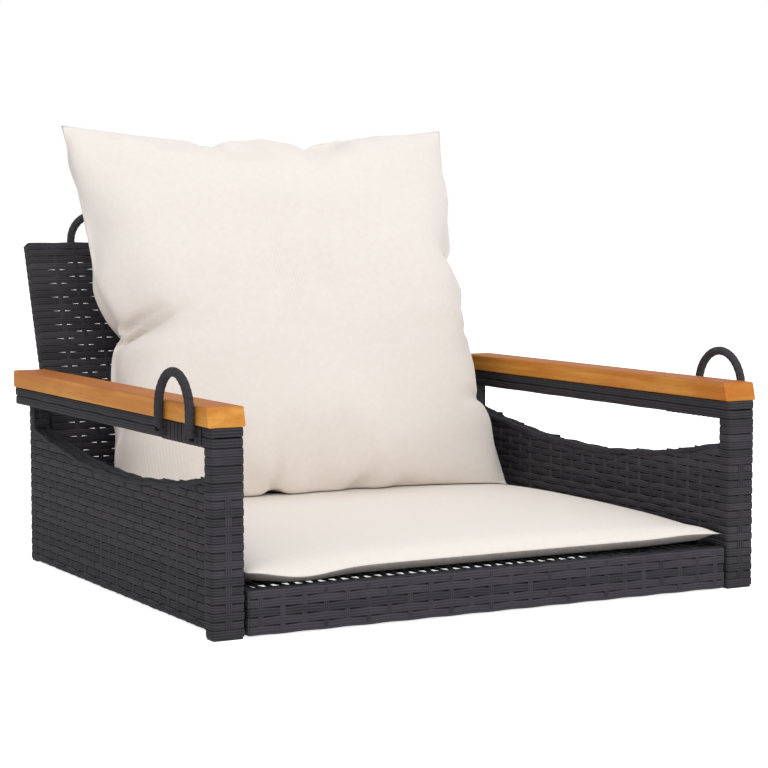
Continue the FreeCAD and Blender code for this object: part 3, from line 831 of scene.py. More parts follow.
@dataclass
class ArmSide:
    """Woven side of an arm: a recessed panel with a bowed upper edge, a front post and a wrapped rail."""

    side: Side
    finishes: Finishes
    panel_seed: int = 11
    post_seed: int = 21
    rail_seed: int = 31
    mid_skin: float = MID_SKIN
    corner: float = CORNER
    row_count: int = 22
    stake_pitch: float = STAKE_PITCH
    free_weave: Weave = Weave()
    tube_weave: Weave = Weave(stake=Strand(8.0, 1.0), bias=0.4, swing=0.5, crowd=0.35, step=4.0)
    tube_wrap: Weave = Weave(bias=0.5, swing=0.1, crowd=0.3, step=4.0)
    post_width: float = 19.0
    rear_stake_count: int = 4
    front_lap: float = 3.0
    window_end: float = 154.0
    window_low: float = 127.0
    end_margin: float = 2.0
    low_margin: float = 5.0
    least_span: float = 6.0
    row_tuck: float = 2.6
    stake_tuck: float = 1.0
    hem: Strand = Strand(4.8, 1.1)
    hem_lift: float = 0.7
    edge_points: int = 61
    edge_ripple: float = 0.6
    ripple_beat: float = 0.37
    ripple_start: float = 1.0
    # The post's stakes as shares of the way round it; the first and last carry the wave past its ends
    post_stake_shares: tuple[float, ...] = (-0.25, 0.25, 0.75, 1.25)
    post_stake_top: float = 134.0
    rail_rows: int = 2
    rail_weave: Weave = Weave(row=Strand(9.0, 1.3), bias=0.2, swing=0.25, crowd=0.2, step=12.0)
    rail_ticks: int = 25
    under_rows: int = 4
    under_weave: Weave = Weave(bias=0.2, swing=0.2, crowd=0.1, step=14.0)
    under_thickness: float = 1.3
    under_play: float = 0.3
    under_ticks: int = 13
    lashings: Weave = Weave(stake=Strand(7.7, 1.1))
    lashing_count: int = 11
    lashing_reach: float = 45.0
    lashing_share: float = 0.85
    lashing_lift: float = 1.7
    loop_y: float = FRONT_LOOP_Y

    def __post_init__(self) -> None:
        """Take the places of the panel, post and rail from their nodes."""
        self.panel_low, self.panel_high = node_box(f"{self.side.label}_side_weave")
        self.post_low, self.post_high = node_box(f"{self.side.label}_front_post_wrap")
        self.rail_low, self.rail_high = node_box(f"{self.side.label}_arm_rail_wrap")
        self.row_pitch = (self.panel_high[2] - self.panel_low[2]) / self.row_count
        self.inner_x, self.outer_x = self.skins(self.panel_low, self.panel_high)
        self.front_y = self.panel_low[1]
        self.rear_y = self.panel_high[1] - self.mid_skin
        self.window_rear = self.panel_high[1] - self.post_width
        half_chord = (self.window_rear - self.front_y) / 2
        sag = self.window_end - self.window_low
        self.bow_radius = (half_chord**2 + sag**2) / (2 * sag)
        self.bow_y = self.front_y + half_chord
        self.bow_z = self.window_low + self.bow_radius

    def skins(self, low: np.ndarray, high: np.ndarray) -> tuple[float, float]:
        """Middle of the woven skin on both faces of a sleeve.

        Args:
            low: Lowest corner of the sleeve.
            high: Its highest corner.

        Returns:
            X on the inner and on the outer face.
        """
        inset = self.side.value * self.mid_skin
        inner, outer = sorted((low[0], high[0]), key=abs)
        return inner + inset, outer - inset

    def bow_height(self, y: float) -> float:
        """Height of the bowed edge at a distance back."""
        return self.bow_z - math.sqrt(self.bow_radius**2 - (y - self.bow_y) ** 2)

    def row_levels(self) -> list[float]:
        """Heights of the rows, which the panel and the post share."""
        return [self.panel_low[2] + self.row_pitch * (index + 0.5) for index in range(self.row_count)]

    def cut_spans(self, level: float, start: float, length: float) -> list[tuple[float, float]]:
        """Parts of a row that are left when it is cut off along the bowed edge.

        Args:
            level: Height of the row.
            start: Y where the row starts on the outer face.
            length: Length of the whole row.

        Returns:
            First and last distance of each part along the row.
        """
        depth = min(self.bow_radius, self.bow_z - level - self.row_tuck)
        cut = math.sqrt(self.bow_radius**2 - depth**2)
        front_end = self.bow_y - cut - start
        rear_start = self.bow_y + cut - start
        spans = [(0.0, front_end), (rear_start, length - rear_start), (length - front_end, length)]
        return [span for span in spans if span[1] - span[0] > self.least_span]

    def weave_panel(self) -> None:
        """Weave the panel round the rear post, with its rows cut off along the bowed edge."""
        skein = Skein(self.panel_seed + self.side.value)
        faces = (self.outer_x, self.inner_x)
        start = self.front_y - self.front_lap
        around = bent_track(level_corners(faces, (start, self.rear_y)), self.corner)
        count = round(around.length / self.stake_pitch)
        stakes = (np.arange(count) + 0.5) * around.length / count
        rear_ys = (self.window_rear + self.mid_skin, self.rear_y)
        rear_post = bent_track(level_corners(faces, rear_ys), self.corner, closed=True)
        rear_stakes = np.arange(self.rear_stake_count + 1) * rear_post.length / self.rear_stake_count
        for index, level in enumerate(self.row_levels()):
            turn = alternate(index)
            if level + self.end_margin > self.window_end:
                self.tube_weave.lay_row(skein, rear_post, Z_AXIS, level, rear_stakes, turn)
                continue
            spans = [(0.0, around.length)]
            if level + self.low_margin > self.window_low:
                spans = self.cut_spans(level, start, around.length)
            for span in spans:
                self.free_weave.lay_row(skein, around, Z_AXIS, level, stakes, turn, span)
        foot, top = self.panel_low[2], self.panel_high[2]
        for distance in stakes:
            y = around.place(distance)[0][1]
            edge = top if y > self.window_rear else min(self.bow_height(y), self.window_end)
            self.free_weave.stand_stake(skein, around, distance, foot, edge - self.stake_tuck)
        for distance in rear_stakes[:-1]:
            self.tube_weave.stand_stake(skein, rear_post, distance, self.window_end, top)
        self.bind_edges(skein)
        label = self.side.label
        skein.fix(f"{label}_woven_panel", self.finishes.strand, f"{label}_side_weave")

    def bind_edges(self, skein: Skein) -> None:
        """Close the bowed and the bottom edge with strands that run along them.

        Args:
            skein: Mesh that takes them.
        """
        ys = np.linspace(self.front_y, self.window_rear, self.edge_points)
        bow = np.array([self.bow_height(y) for y in ys])
        inward = np.stack((np.zeros_like(ys), ys - self.bow_y, bow - self.bow_z), -1) / self.bow_radius
        flat = np.full_like(ys, self.panel_low[2])
        middle_x = (self.outer_x + self.inner_x) / 2
        width = abs(self.outer_x - self.inner_x) / 2
        phase = np.pi * (ys - self.front_y) / self.stake_pitch
        ripple = self.edge_ripple * (np.cos(phase) + np.cos(self.ripple_beat * phase + self.ripple_start))
        for heights, down in ((bow, inward), (flat, np.broadcast_to(Z_AXIS, inward.shape))):
            edge = np.stack((np.zeros_like(ys), ys, heights), -1) + down * self.mid_skin
            for sign in (-1, 1):
                cap = edge + X_AXIS * (middle_x + sign * width / 2) + down * ripple[:, None]
                skein.lay(cap, X_AXIS, -down, Strand(width, self.free_weave.row.thickness))
            for x in (self.outer_x, self.inner_x):
                out = X_AXIS * math.copysign(1.0, x - middle_x)
                hem = edge + X_AXIS * x + down * (self.hem.width / 2 + ripple)[:, None] + out * self.hem_lift
                skein.lay(hem, down, out, self.hem)

    def weave_post(self) -> None:
        """Weave round the front post."""
        skein = Skein(self.post_seed + self.side.value)
        low, high = self.post_low + self.mid_skin, self.post_high - self.mid_skin
        corners = [(low[0], low[1], 0.0), (high[0], low[1], 0.0)]
        corners += [(high[0], high[1], 0.0), (low[0], high[1], 0.0)]
        around = bent_track(corners, self.corner, closed=True)
        stakes = around.length * np.array(self.post_stake_shares)
        for index, level in enumerate(self.row_levels()):
            weave = self.tube_weave if level < self.post_stake_top else self.tube_wrap
            weave.lay_row(skein, around, Z_AXIS, level, stakes, alternate(index))
        for distance in stakes[1:-1]:
            self.tube_weave.stand_stake(skein, around, distance, self.post_low[2], self.post_stake_top)
        label = self.side.label
        skein.fix(f"{label}_woven_front_post", self.finishes.strand, f"{label}_front_post_wrap")

    def wrap_rail(self) -> None:
        """Wrap the arm rail in long strands that turn round its front end."""
        skein = Skein(self.rail_seed + self.side.value)
        inner, outer = self.skins(self.rail_low, self.rail_high)
        front, rear = self.rail_low[1] + self.mid_skin, self.rail_high[1]
        around = bent_track(level_corners((outer, inner), (rear, front)), self.corner)
        stakes = np.linspace(0.0, around.length, self.rail_ticks)
        row_height = (self.rail_high[2] - self.rail_low[2]) / self.rail_rows
        end = (rear - self.mid_skin, 0.0)
        cap = straight_track((inner, *end), (outer, *end), Y_AXIS)
        for index in range(self.rail_rows):
            level = self.rail_low[2] + row_height * (index + 0.5)
            for track, ticks in ((around, stakes), (cap, np.array([0.0, cap.length]))):
                self.rail_weave.lay_row(skein, track, Z_AXIS, level, ticks, alternate(index))
        under = self.rail_low[2] + self.mid_skin
        row_width = abs(outer - inner) / self.under_rows
        strand = Strand(row_width - self.under_play, self.under_thickness)
        for index in range(self.under_rows):
            x = inner + (outer - inner) * (index + 0.5) / self.under_rows
            line = straight_track((x, self.post_high[1], under), (x, self.window_rear, under), -Z_AXIS)
            ticks = np.linspace(0.0, line.length, self.under_ticks)
            weave = replace(self.under_weave, row=strand)
            weave.lay_row(skein, line, X_AXIS, 0.0, ticks, alternate(index))
        self.lash_loop(skein, inner, outer)
        label = self.side.label
        skein.fix(f"{label}_wrapped_arm_rail", self.finishes.strand, f"{label}_arm_rail_wrap")

    def lash_loop(self, skein: Skein, inner: float, outer: float) -> None:
        """Lash the rail's outer face and underside round the feet of its loop.

        Args:
            skein: Mesh that takes the lashings.
            inner: X of the rail's inner skin.
            outer: X of the rail's outer skin.
        """
        low, high = self.rail_low[2] + self.mid_skin, self.rail_high[2] - self.lashings.stake.thickness
        under = outer + (inner - outer) * self.lashing_share
        for place in np.linspace(-1.0, 1.0, self.lashing_count):
            y = self.loop_y + place * self.lashing_reach
            line = bent_track([(under, y, low), (outer, y, low), (outer, y, high)], self.corner)
            self.lashings.lay_stake(skein, line, Y_AXIS, self.lashing_lift)

    def build(self) -> None:
        """Build the panel, the post and the rail."""
        self.weave_panel()
        self.weave_post()
        self.wrap_rail()


@dataclass
class Apron:
    """Woven front edge of the seat, between the posts."""

    finishes: Finishes
    seed: int = 41
    row_count: int = 5
    row_thickness: float = 1.2
    row_play: float = 0.15
    weave: Weave = Weave(bias=0.45, swing=0.42, crowd=0.36)
    stake_pitch: float = STAKE_PITCH
    mid_skin: float = MID_SKIN
    corner: float = CORNER
    end_fade: float = 12.0
    front_inset: float = 4.5
    rear_inset: float = 4.0
    rear_fall: float = 1.2

    def build(self) -> None:
        """Weave rows along the front and round its ends, over stakes that loop round both rails."""
        low, high = node_box("apron_weave")
        pitch = (high[2] - low[2]) / self.row_count
        levels = low[2] + pitch * (np.arange(self.row_count) + 0.5)
        low, high = low + self.mid_skin, high - self.mid_skin
        skein = Skein(self.seed)
        weave = replace(self.weave, row=Strand(pitch - self.row_play, self.row_thickness))
        ends = (low[0], high[0])
        width = high[0] - low[0]
        around = bent_track(level_corners(ends, (high[1], low[1])), self.corner)
        count = round(width / self.stake_pitch)
        stake_xs = low[0] + (np.arange(count) + 0.5) * width / count
        stakes = stake_xs + (around.length - width) / 2 - low[0]
        for index, level in enumerate(levels):
            weave.lay_row(skein, around, Z_AXIS, level, stakes, -alternate(index), fade=self.end_fade)
        front, rear = low[1] + self.front_inset, high[1] - self.rear_inset
        rear_top = high[2] - self.rear_fall
        edges = [((front, high[2]), Z_AXIS, Y_AXIS), ((rear, rear_top), Z_AXIS, Y_AXIS)]
        edges += [((y, low[2]), -Z_AXIS, Y_AXIS) for y in (front, rear)]
        edges += [((high[1], level - self.rear_fall), Y_AXIS, Z_AXIS) for level in levels]
        for index, (place, out, axis) in enumerate(edges):
            weave.lay_edge(skein, ends, place, out, axis, stake_xs, alternate(index))
        for x in stake_xs:
            loop = [(x, low[1], low[2]), (x, low[1], high[2]), (x, high[1], rear_top), (x, high[1], low[2])]
            weave.lay_stake(skein, bent_track(loop, self.corner, closed=True), X_AXIS)
        skein.fix("woven_apron", self.finishes.strand, "apron_weave")


@dataclass
class SeatMesh:
    """Open woven seat over the cross bars."""

    finishes: Finishes
    seed: int = 51
    weave: Weave = Weave(row=Strand(7.4, 0.8), stake=Strand(3.4, 0.7), swing=0.35, crowd=0.2)
    row_pitch: float = 12.4
    stake_pitch: float = 14.0
    mid_skin: float = MID_SKIN
    corner: float = CORNER
    overlap: float = 10.0
    end_rise: float = 2.0

    def build(self) -> None:
        """Weave strands from front to rear through strands from side to side."""
        low, high = node_box("seat_weave")
        skein = Skein(self.seed)
        left, right = low[0] + self.mid_skin, high[0] - self.mid_skin
        front, rear = low[1] - self.overlap, high[1] - self.mid_skin
        bottom, top = low[2] + self.end_rise, high[2] - self.mid_skin
        count = round((high[1] - low[1]) / self.stake_pitch)
        stake_ys = np.linspace(low[1] - self.mid_skin, high[1] - self.stake_pitch / 2, count)
        along = bent_track([(0.0, front, top), (0.0, rear, top), (0.0, rear, bottom)], self.corner)
        along = replace(along, outward=np.maximum(along.outward, 0.0))
        total = round((right - left) / self.row_pitch)
        for index in range(total):
            x = left + (index + 0.5) * (right - left) / total
            self.weave.lay_row(skein, along, X_AXIS, x, stake_ys - front, alternate(index))
        for y in stake_ys:
            corners = [(left, y, bottom), (left, y, top), (right, y, top), (right, y, bottom)]
            self.weave.lay_stake(skein, bent_track(corners, self.corner), Y_AXIS)
        skein.fix("woven_seat", self.finishes.strand, "seat_weave")


@dataclass
class Backrest:
    """Woven leaning back, drawn upright about its middle plane and then leaned."""

    finishes: Finishes
    seed: int = 61
    half_width: float = 277.5
    half_thickness: float = 9.5
    height: float = 373.0
    lean: float = 19.1
    base_y: float = 170.944
    base_z: float = 5.1086
    bar: float = 17.0
    bar_play: float = 1.5
    row_count: int = 45
    row_lap: float = 0.1
    row_thickness: float = 1.2
    weave: Weave = Weave(bias=0.1, swing=0.42, crowd=0.2)
    stake_pitch: float = STAKE_PITCH
    stake_inset: float = 14.0
    end_fade: float = 14.0
    rear_insets: tuple[float, float] = (4.0, 12.5)
    mid_skin: float = MID_SKIN
    corner: float = 3.5

    @property
    def base(self) -> np.ndarray:
        """Foot of the middle plane."""
        return np.array((0.0, self.base_y, self.base_z))

    def leaned(self, skein: Skein) -> None:
        """Lean strands that were laid upright.

        Args:
            skein: The strands, which are changed.
        """
        up, forward = lean_axes(self.lean)
        axes = np.array((X_AXIS, -forward, up))
        skein.rings = [self.base + ring @ axes for ring in skein.rings]

    def build(self) -> None:
        """Weave rows across the front and round the stiles, over stakes that loop over the rails."""
        skein = Skein(self.seed)
        side = self.half_width - self.mid_skin
        face = self.half_thickness - self.mid_skin
        inner = self.half_width - self.bar - self.bar_play
        pitch = self.height / self.row_count
        weave = replace(self.weave, row=Strand(pitch + self.row_lap, self.row_thickness))
        corners = [(-inner, face, 0.0), *level_corners((-side, side), (face, -face)), (inner, face, 0.0)]
        around = bent_track(corners, self.corner)
        stake_reach = inner - self.stake_inset
        stake_xs = np.linspace(-stake_reach, stake_reach, round(2 * stake_reach / self.stake_pitch))
        stakes = stake_xs + around.length / 2
        for index in range(self.row_count):
            level = pitch * (index + 0.5)
            weave.lay_row(skein, around, Z_AXIS, level, stakes, alternate(index), fade=self.end_fade)
        low, high = self.mid_skin, self.height - self.mid_skin
        near, far = self.rear_insets
        edges = []
        for z, out in ((high, Z_AXIS), (low, -Z_AXIS)):
            edges += [(side, (y, z), out, Y_AXIS) for y in (-face / 2, face / 2)]
        for z in (low + near, low + far, high - far, high - near):
            edges.append((inner, (face, z), Y_AXIS, Z_AXIS))
        for index, (reach, place, out, axis) in enumerate(edges):
            weave.lay_edge(skein, (-reach, reach), place, out, axis, stake_xs, alternate(index))
        for x in stake_xs:
            loop = [(x, face, self.bar), (x, face, low), (x, -face, low)]
            loop += [(x, -face, high), (x, face, high), (x, face, self.height - self.bar)]
            weave.lay_stake(skein, bent_track(loop, self.corner), X_AXIS)
        self.leaned(skein)
        skein.fix("woven_backrest", self.finishes.strand, "backrest_weave")


@dataclass
class HangingLoop:
    """Rod loop, wound all along with a strand."""

    finishes: Finishes
    backrest: Backrest
    front_seed: int = 71
    rear_seed: int = 81
    radius: float = 37.0
    rod_radius: float = 3.0
    arch_points: int = 33
    winding: Strand = Strand(8.4, 1.6, ridged=False)
    winding_pitch: float = 6.9
    winding_gap: float = 0.1
    turn_steps: int = 12
    front_x: float = 320.0
    front_y: float = FRONT_LOOP_Y
    front_root_x: float = 312.0
    front_foot: float = 186.5
    front_spring: float = 209.5
    # A direction that the front loop's line never runs along
    front_normal: tuple[float, float, float] = (0.6, 0.35, 0.72)
    elbow: float = 6.0
    elbow_points: int = 5
    rear_x: float = 183.5
    rear_root: float = 371.0
    rear_spring: float = 373.6

    def arch(self, centre: np.ndarray, across: np.ndarray) -> np.ndarray:
        """Half circle of the loop.

        Args:
            centre: Middle of the half circle.
            across: Direction from one leg to the other.

        Returns:
            Points from leg to leg.
        """
        angles = np.linspace(math.pi, 0.0, self.arch_points)[:, None]
        return centre + self.radius * (np.cos(angles) * across + np.sin(angles) * Z_AXIS)

    def front_line(self) -> np.ndarray:
        """Draw the middle line of the right front loop.

        Returns:
            Points from the arm rail up, over and back.
        """
        legs = []
        for sign in (-1, 1):
            y = self.front_y + sign * self.radius
            leg = [(self.front_root_x, y, self.front_foot)]
            for angle in np.linspace(0.0, math.pi / 2, self.elbow_points):
                x = self.front_x - self.elbow + self.elbow * math.sin(angle)
                leg.append((x, y, self.front_foot + self.elbow - self.elbow * math.cos(angle)))
            legs.append(np.array(leg))
        centre = np.array((self.front_x, self.front_y, self.front_spring))
        return np.concatenate((legs[0], self.arch(centre, Y_AXIS), legs[1][::-1]))

    def rear_line(self) -> np.ndarray:
        """Draw the middle line of the right rear loop on the upright backrest.

        Returns:
            Points from root to root.
        """
        centre = np.array((self.rear_x, 0.0, self.rear_spring))
        roots = [np.array([(self.rear_x + sign * self.radius, 0.0, self.rear_root)]) for sign in (-1, 1)]
        return np.concatenate((roots[0], self.arch(centre, X_AXIS), roots[1]))

    def wind(self, skein: Skein, line: np.ndarray, normal: np.ndarray) -> None:
        """Wind a strand round a line.

        Args:
            skein: Mesh that takes the strand.
            line: Points of the rod's middle line.
            normal: A direction that the line never runs along.
        """
        rough = Track(line, np.broadcast_to(normal, line.shape))
        turns = round(rough.length / self.winding_pitch)
        reach = np.linspace(0.0, rough.length, turns * self.turn_steps + 1)
        points, _ = rough.at(reach)
        ahead = np.gradient(points, axis=0)
        ahead /= np.linalg.norm(ahead, axis=1, keepdims=True)
        first = np.cross(ahead, normal)
        first /= np.linalg.norm(first, axis=1, keepdims=True)
        second = np.cross(ahead, first)
        angle = (2 * np.pi * turns * reach / rough.length)[:, None]
        outs = np.cos(angle) * first + np.sin(angle) * second
        middle = points + outs * (self.rod_radius + self.winding.thickness / 2 + self.winding_gap)
        skein.lay(middle, ahead, outs, self.winding)

    def finish(self, skein: Skein, side: Side, place: str) -> None:
        """Turn a wound strand into a piece, mirrored for the left side.

        Args:
            skein: The strand, laid for the right side.
            side: Side that it is for.
            place: Front or rear.
        """
        if side is Side.LEFT:
            skein.rings = [ring * (-1.0, 1.0, 1.0) for ring in skein.rings]
            skein.quads = [quads[:, ::-1] for quads in skein.quads]
        label = side.label
        skein.fix(f"{label}_wound_{place}_loop", self.finishes.strand, f"{label}_{place}_loop_wrap")

    def build(self, side: Side) -> None:
        """Build the front and rear loops of one side.

        Args:
            side: Side of the bench.
        """
        front = Skein(self.front_seed + side.value)
        self.wind(front, self.front_line(), np.array(self.front_normal))
        self.finish(front, side, "front")
        rear = Skein(self.rear_seed + side.value)
        self.wind(rear, self.rear_line(), Y_AXIS)
        self.backrest.leaned(rear)
        self.finish(rear, side, "rear")


@dataclass(frozen=True)
class Crease:
    """A fold that runs into a cushion's face from a pinch in its seam."""

    start: tuple[float, float]
    end: tuple[float, float]
    depth: float
    spread: float
    lip: float = 1.0
    shoulder: float = 0.6
    fall_limit: float = 1.3
    fade_power: float = 1.5
    start_width: float = 0.6
    widening: float = 0.8

    def drop(self, places: np.ndarray) -> np.ndarray:
        """Depth of the fold at places on the face.

        Args:
            places: Distances across and up the face.

        Returns:
            Drop of the face at each place.
        """
        start, run = np.array(self.start), np.subtract(self.end, self.start)
        share = (places - start) @ run / (run @ run)
        aside = (places - start) @ np.array((-run[1], run[0])) / np.linalg.norm(run)
        fall = np.clip(1.0 - share, 0.0, self.fall_limit) ** self.fade_power
        width = self.spread * (self.start_width + self.widening * np.clip(share, 0.0, 1.0))
        away = (aside / (width * np.where(aside < 0.0, self.lip, 1.0))) ** 2
        return self.depth * fall * (1.0 - self.shoulder * away) * np.exp(-away)


@dataclass(frozen=True)
class Pinch:
    """A place where a cushion's seam is drawn in, with its own spread on either hand."""

    side: str
    place: float
    depth: float
    before: float
    after: float
    roundness: float = 2.0

    def draw(self, line: np.ndarray) -> None:
        """Draw in the seam of the pinch's side.

        Args:
            line: Points of that side, across and up, which are changed.
        """
        along, aside = (1, 0) if self.side in ("left", "right") else (0, 1)
        sign = 1 if self.side in ("left", "bottom") else -1
        past = line[:, along] - self.place
        share = np.abs(past) / np.where(past < 0, self.before, self.after)
        line[:, aside] += sign * self.depth * np.exp(-(share**self.roundness))


@dataclass(frozen=True)
class Ruffle:
    """A place where the front seam of a cushion rises or dips, as a share of its half width."""

    place: float
    rise: float
    spread: float

    def lift(self, shares: np.ndarray) -> np.ndarray:
        """Rise of the seam at shares of the half width."""
        return self.rise * np.exp(-(((shares - self.place) / self.spread) ** 2))


def edge_line(start: Sequence[float], end: Sequence[float], shares: np.ndarray, draw_in: float) -> np.ndarray:
    """Side of a cushion's outline, drawn in between its corners.

    Args:
        start: First corner, across and up.
        end: Last corner.
        shares: Places along the side, from minus one to one.
        draw_in: Distance that the middle is drawn in, to the left of the way from start to end.

    Returns:
        Points along the side.
    """
    first, last = np.array(start, float), np.array(end, float)
    run = last - first
    aside = np.array((-run[1], run[0])) / np.linalg.norm(run)
    return first + (shares[:, None] + 1) / 2 * run + draw_in * (1 - shares[:, None] ** 2) * aside


@dataclass
class SewnPad:
    """Cushion cover: two flat panels, sewn together round their edge and filled."""

    half_width: float
    half_height: float
    columns: int
    rows: int
    frames: int
    oversize: float = 1.07
    panel_gap: float = 4.0
    quick_spread: float = 25.0
    seam_crease: float = 0.8

    # Blender's settings for a stiff canvas that is blown up by its filling
    CLOTH = {
        "quality": 5,
        "mass": 0.02,
        "tension_stiffness": 40.0,
        "compression_stiffness": 40.0,
        "shear_stiffness": 12.0,
        "bending_stiffness": 0.2,
        "air_damping": 2.0,
        "use_pressure": True,
        "uniform_pressure_force": 5.0,
    }

    def __post_init__(self) -> None:
        """Number the points of both panels, which share those of the seam."""
        shares = [np.linspace(-1, 1, count + 1) for count in (self.columns, self.rows)]
        self.grid_across, self.grid_up = np.meshgrid(*shares, indexing="ij")
        self.face = np.arange(self.grid_across.size).reshape(self.grid_across.shape)
        self.inner = np.zeros(self.grid_across.shape, bool)
        self.inner[1:-1, 1:-1] = True
        self.back = self.face.copy()
        self.back[self.inner] = self.grid_across.size + np.arange(self.inner.sum())
        self.quads = np.concatenate((self.panel_quads(self.face), self.panel_quads(self.back)[:, ::-1]))

    @staticmethod
    def panel_quads(index: np.ndarray) -> np.ndarray:
        """Faces of one panel from the numbers of its points."""
        return np.stack((index[:-1, :-1], index[1:, :-1], index[1:, 1:], index[:-1, 1:]), -1).reshape(-1, 4)

    def both(self, values: np.ndarray) -> np.ndarray:
        """Values on the grid, repeated for the points of the back panel."""
        return np.concatenate((values.reshape(-1, *values.shape[2:]), values[self.inner]))

    def flat(self) -> np.ndarray:
        """Lay out the sewn panels before filling, a hair apart in the middle.

        Returns:
            Distances across, up and forward in millimetres.
        """
        width, height = self.half_width * self.oversize, self.half_height * self.oversize
        gap = self.panel_gap * (1 - self.grid_across**2) * (1 - self.grid_up**2)
        points = self.both(np.stack((self.grid_across * width, self.grid_up * height, gap), -1))
        points[self.grid_across.size :, 2] *= -1
        return points

    def filled(self) -> np.ndarray:
        """Blow up the panels by their filling.

        Returns:
            Distances across, up and forward in millimetres.
        """
        points = self.flat()
        cover = put("filling", new_mesh("filling", points, self.quads))
        cloth = cover.modifiers.new("filling", "CLOTH")
        for name, value in self.CLOTH.items():
            setattr(cloth.settings, name, value)
        cloth.settings.effector_weights.gravity = 0.0
        cloth.collision_settings.use_collision = False
        cloth.point_cache.frame_start = 1
        cloth.point_cache.frame_end = self.frames
        scene = bpy.context.scene
        for moment in range(1, self.frames + 1):
            scene.frame_set(moment)
        points = mesh_points(cover.evaluated_get(bpy.context.evaluated_depsgraph_get()).data)
        bpy.data.objects.remove(cover)
        scene.frame_set(1)
        return points

    def outline(self, corners: Sequence[Sequence[float]], draw_ins: Sequence[float]) -> dict[str, np.ndarray]:
        """Seam between four corners.

        Args:
            corners: Low left, low right, high right and high left corner, across and up.
            draw_ins: Distances that the bottom, right, top and left are drawn in.

        Returns:
            Points of the seam by side.
        """
        across, up = self.grid_across[:, 0], self.grid_up[0]
        low_left, low_right, high_right, high_left = corners
        bottom, right, top, left = draw_ins
        return {
            "bottom": edge_line(low_left, low_right, across, bottom),
            "right": edge_line(low_right, high_right, up, right),
            "top": edge_line(high_left, high_right, across, -top),
            "left": edge_line(low_left, high_left, up, -left),
        }

    def fit_outline(self, points: np.ndarray, sides: dict[str, np.ndarray]) -> None:
        """Move the panels so that their seam follows an outline in one plane.

        Args:
            points: Points of both panels, which are changed.
            sides: Wanted places of the seam's points on the left, right, bottom and top, across and up.
        """
        grid = points[self.face]
        level = {name: np.column_stack((line, np.zeros(len(line)))) for name, line in sides.items()}
        left, right = level["left"] - grid[0], level["right"] - grid[-1]
        bottom, top = level["bottom"] - grid[:, 0], level["top"] - grid[:, -1]
        over, up = (self.grid_across[..., None] + 1) / 2, (self.grid_up[..., None] + 1) / 2
        move = (1 - over) * left[None] + over * right[None] + (1 - up) * bottom[:, None] + up * top[:, None]
        move -= (1 - over) * (1 - up) * left[0] + over * (1 - up) * right[0]
        move -= (1 - over) * up * left[-1] + over * up * right[-1]
        points += self.both(move)

    def relax(self, points: np.ndarray, passes: int) -> None:
        """Ease the finest puckers out of the panels, with the seam held.

        Args:
            points: Points of both panels, which are changed.
            passes: How often each point moves half way to the middle of its neighbours.
        """
        for panel in (self.face, self.back) * passes:
            grid = points[panel]
            around = (grid[:-2, 1:-1] + grid[2:, 1:-1] + grid[1:-1, :-2] + grid[1:-1, 2:]) / 4
            points[panel[1:-1, 1:-1]] = (grid[1:-1, 1:-1] + around) / 2

    def stuffed(self, sides: dict[str, np.ndarray], passes: int) -> np.ndarray:
        """Fill the panels, fit them to their seam and ease them.

        Args:
            sides: Points of the seam by side.
            passes: How often they are eased.

        Returns:
            Distances across and up in millimetres, and forward as a share of the fullest place.
        """
        points = self.filled()
        self.fit_outline(points, sides)
        self.relax(points, passes)
        points[:, 2] /= np.abs(points[:, 2]).max()
        return points

    def piece(self, name: str, points: np.ndarray, panels: Sequence[bpy.types.Material]) -> bpy.types.Object:
        """Turn the points into a smooth object with a sewn edge.

        Args:
            name: Name of the piece.
            points: Points of both panels in the part's frame, in millimetres.
            panels: Cloth of the front panel and of the back panel.

        Returns:
            The object.
        """
        mesh = new_mesh(name, points, self.quads)
        set_values(mesh, "warp", self.both(self.grid_across * self.half_width))
        set_values(mesh, "weft", self.both(self.grid_up * self.half_height))
        for cloth in panels:
            mesh.materials.append(cloth)
        half = len(self.quads) // 2
        mesh.polygons.foreach_set("material_index", np.repeat((0, 1), half).astype(np.int32))
        on_seam = np.zeros(len(points), bool)
        on_seam[self.face[~self.inner]] = True
        pairs = np.zeros(len(mesh.edges) * 2, np.int32)
        mesh.edges.foreach_get("vertices", pairs)
        sewn = on_seam[pairs.reshape(-1, 2)].all(axis=1)
        set_values(mesh, "crease_edge", np.where(sewn, self.seam_crease, 0.0), "EDGE")
        mesh.shade_smooth()
        made = put(name, mesh)
        smooth = made.modifiers.new("smooth", "SUBSURF")
        smooth.levels = smooth.render_levels = 1
        shaped = made.evaluated_get(bpy.context.evaluated_depsgraph_get())
        made.modifiers.clear()
        made.data = bpy.data.meshes.new_from_object(shaped)
        made.data.name = name
        return made


def stand_on(
    points: np.ndarray, support: bpy.types.Object, gaps: np.ndarray, probe_height: float = 1000.0
) -> None:
    """Lift the points that would sink into what carries them.

    Args:
        points: Points in the part's frame, which are changed.
        support: The object below.
        gaps: Clearance above it at each point.
        probe_height: Height from which the support is felt for.
    """
    below = BVHTree.FromObject(support, bpy.context.evaluated_depsgraph_get())
    ceiling = max(corner[2] for corner in support.bound_box) / MM
    for index in np.flatnonzero(points[:, 2] < ceiling + gaps):
        start = np.array((*points[index, :2], probe_height)) * MM
        hit = below.ray_cast(start, -Z_AXIS)[0]
        if hit is not None:
            points[index, 2] = max(points[index, 2], hit[2] / MM + gaps[index])


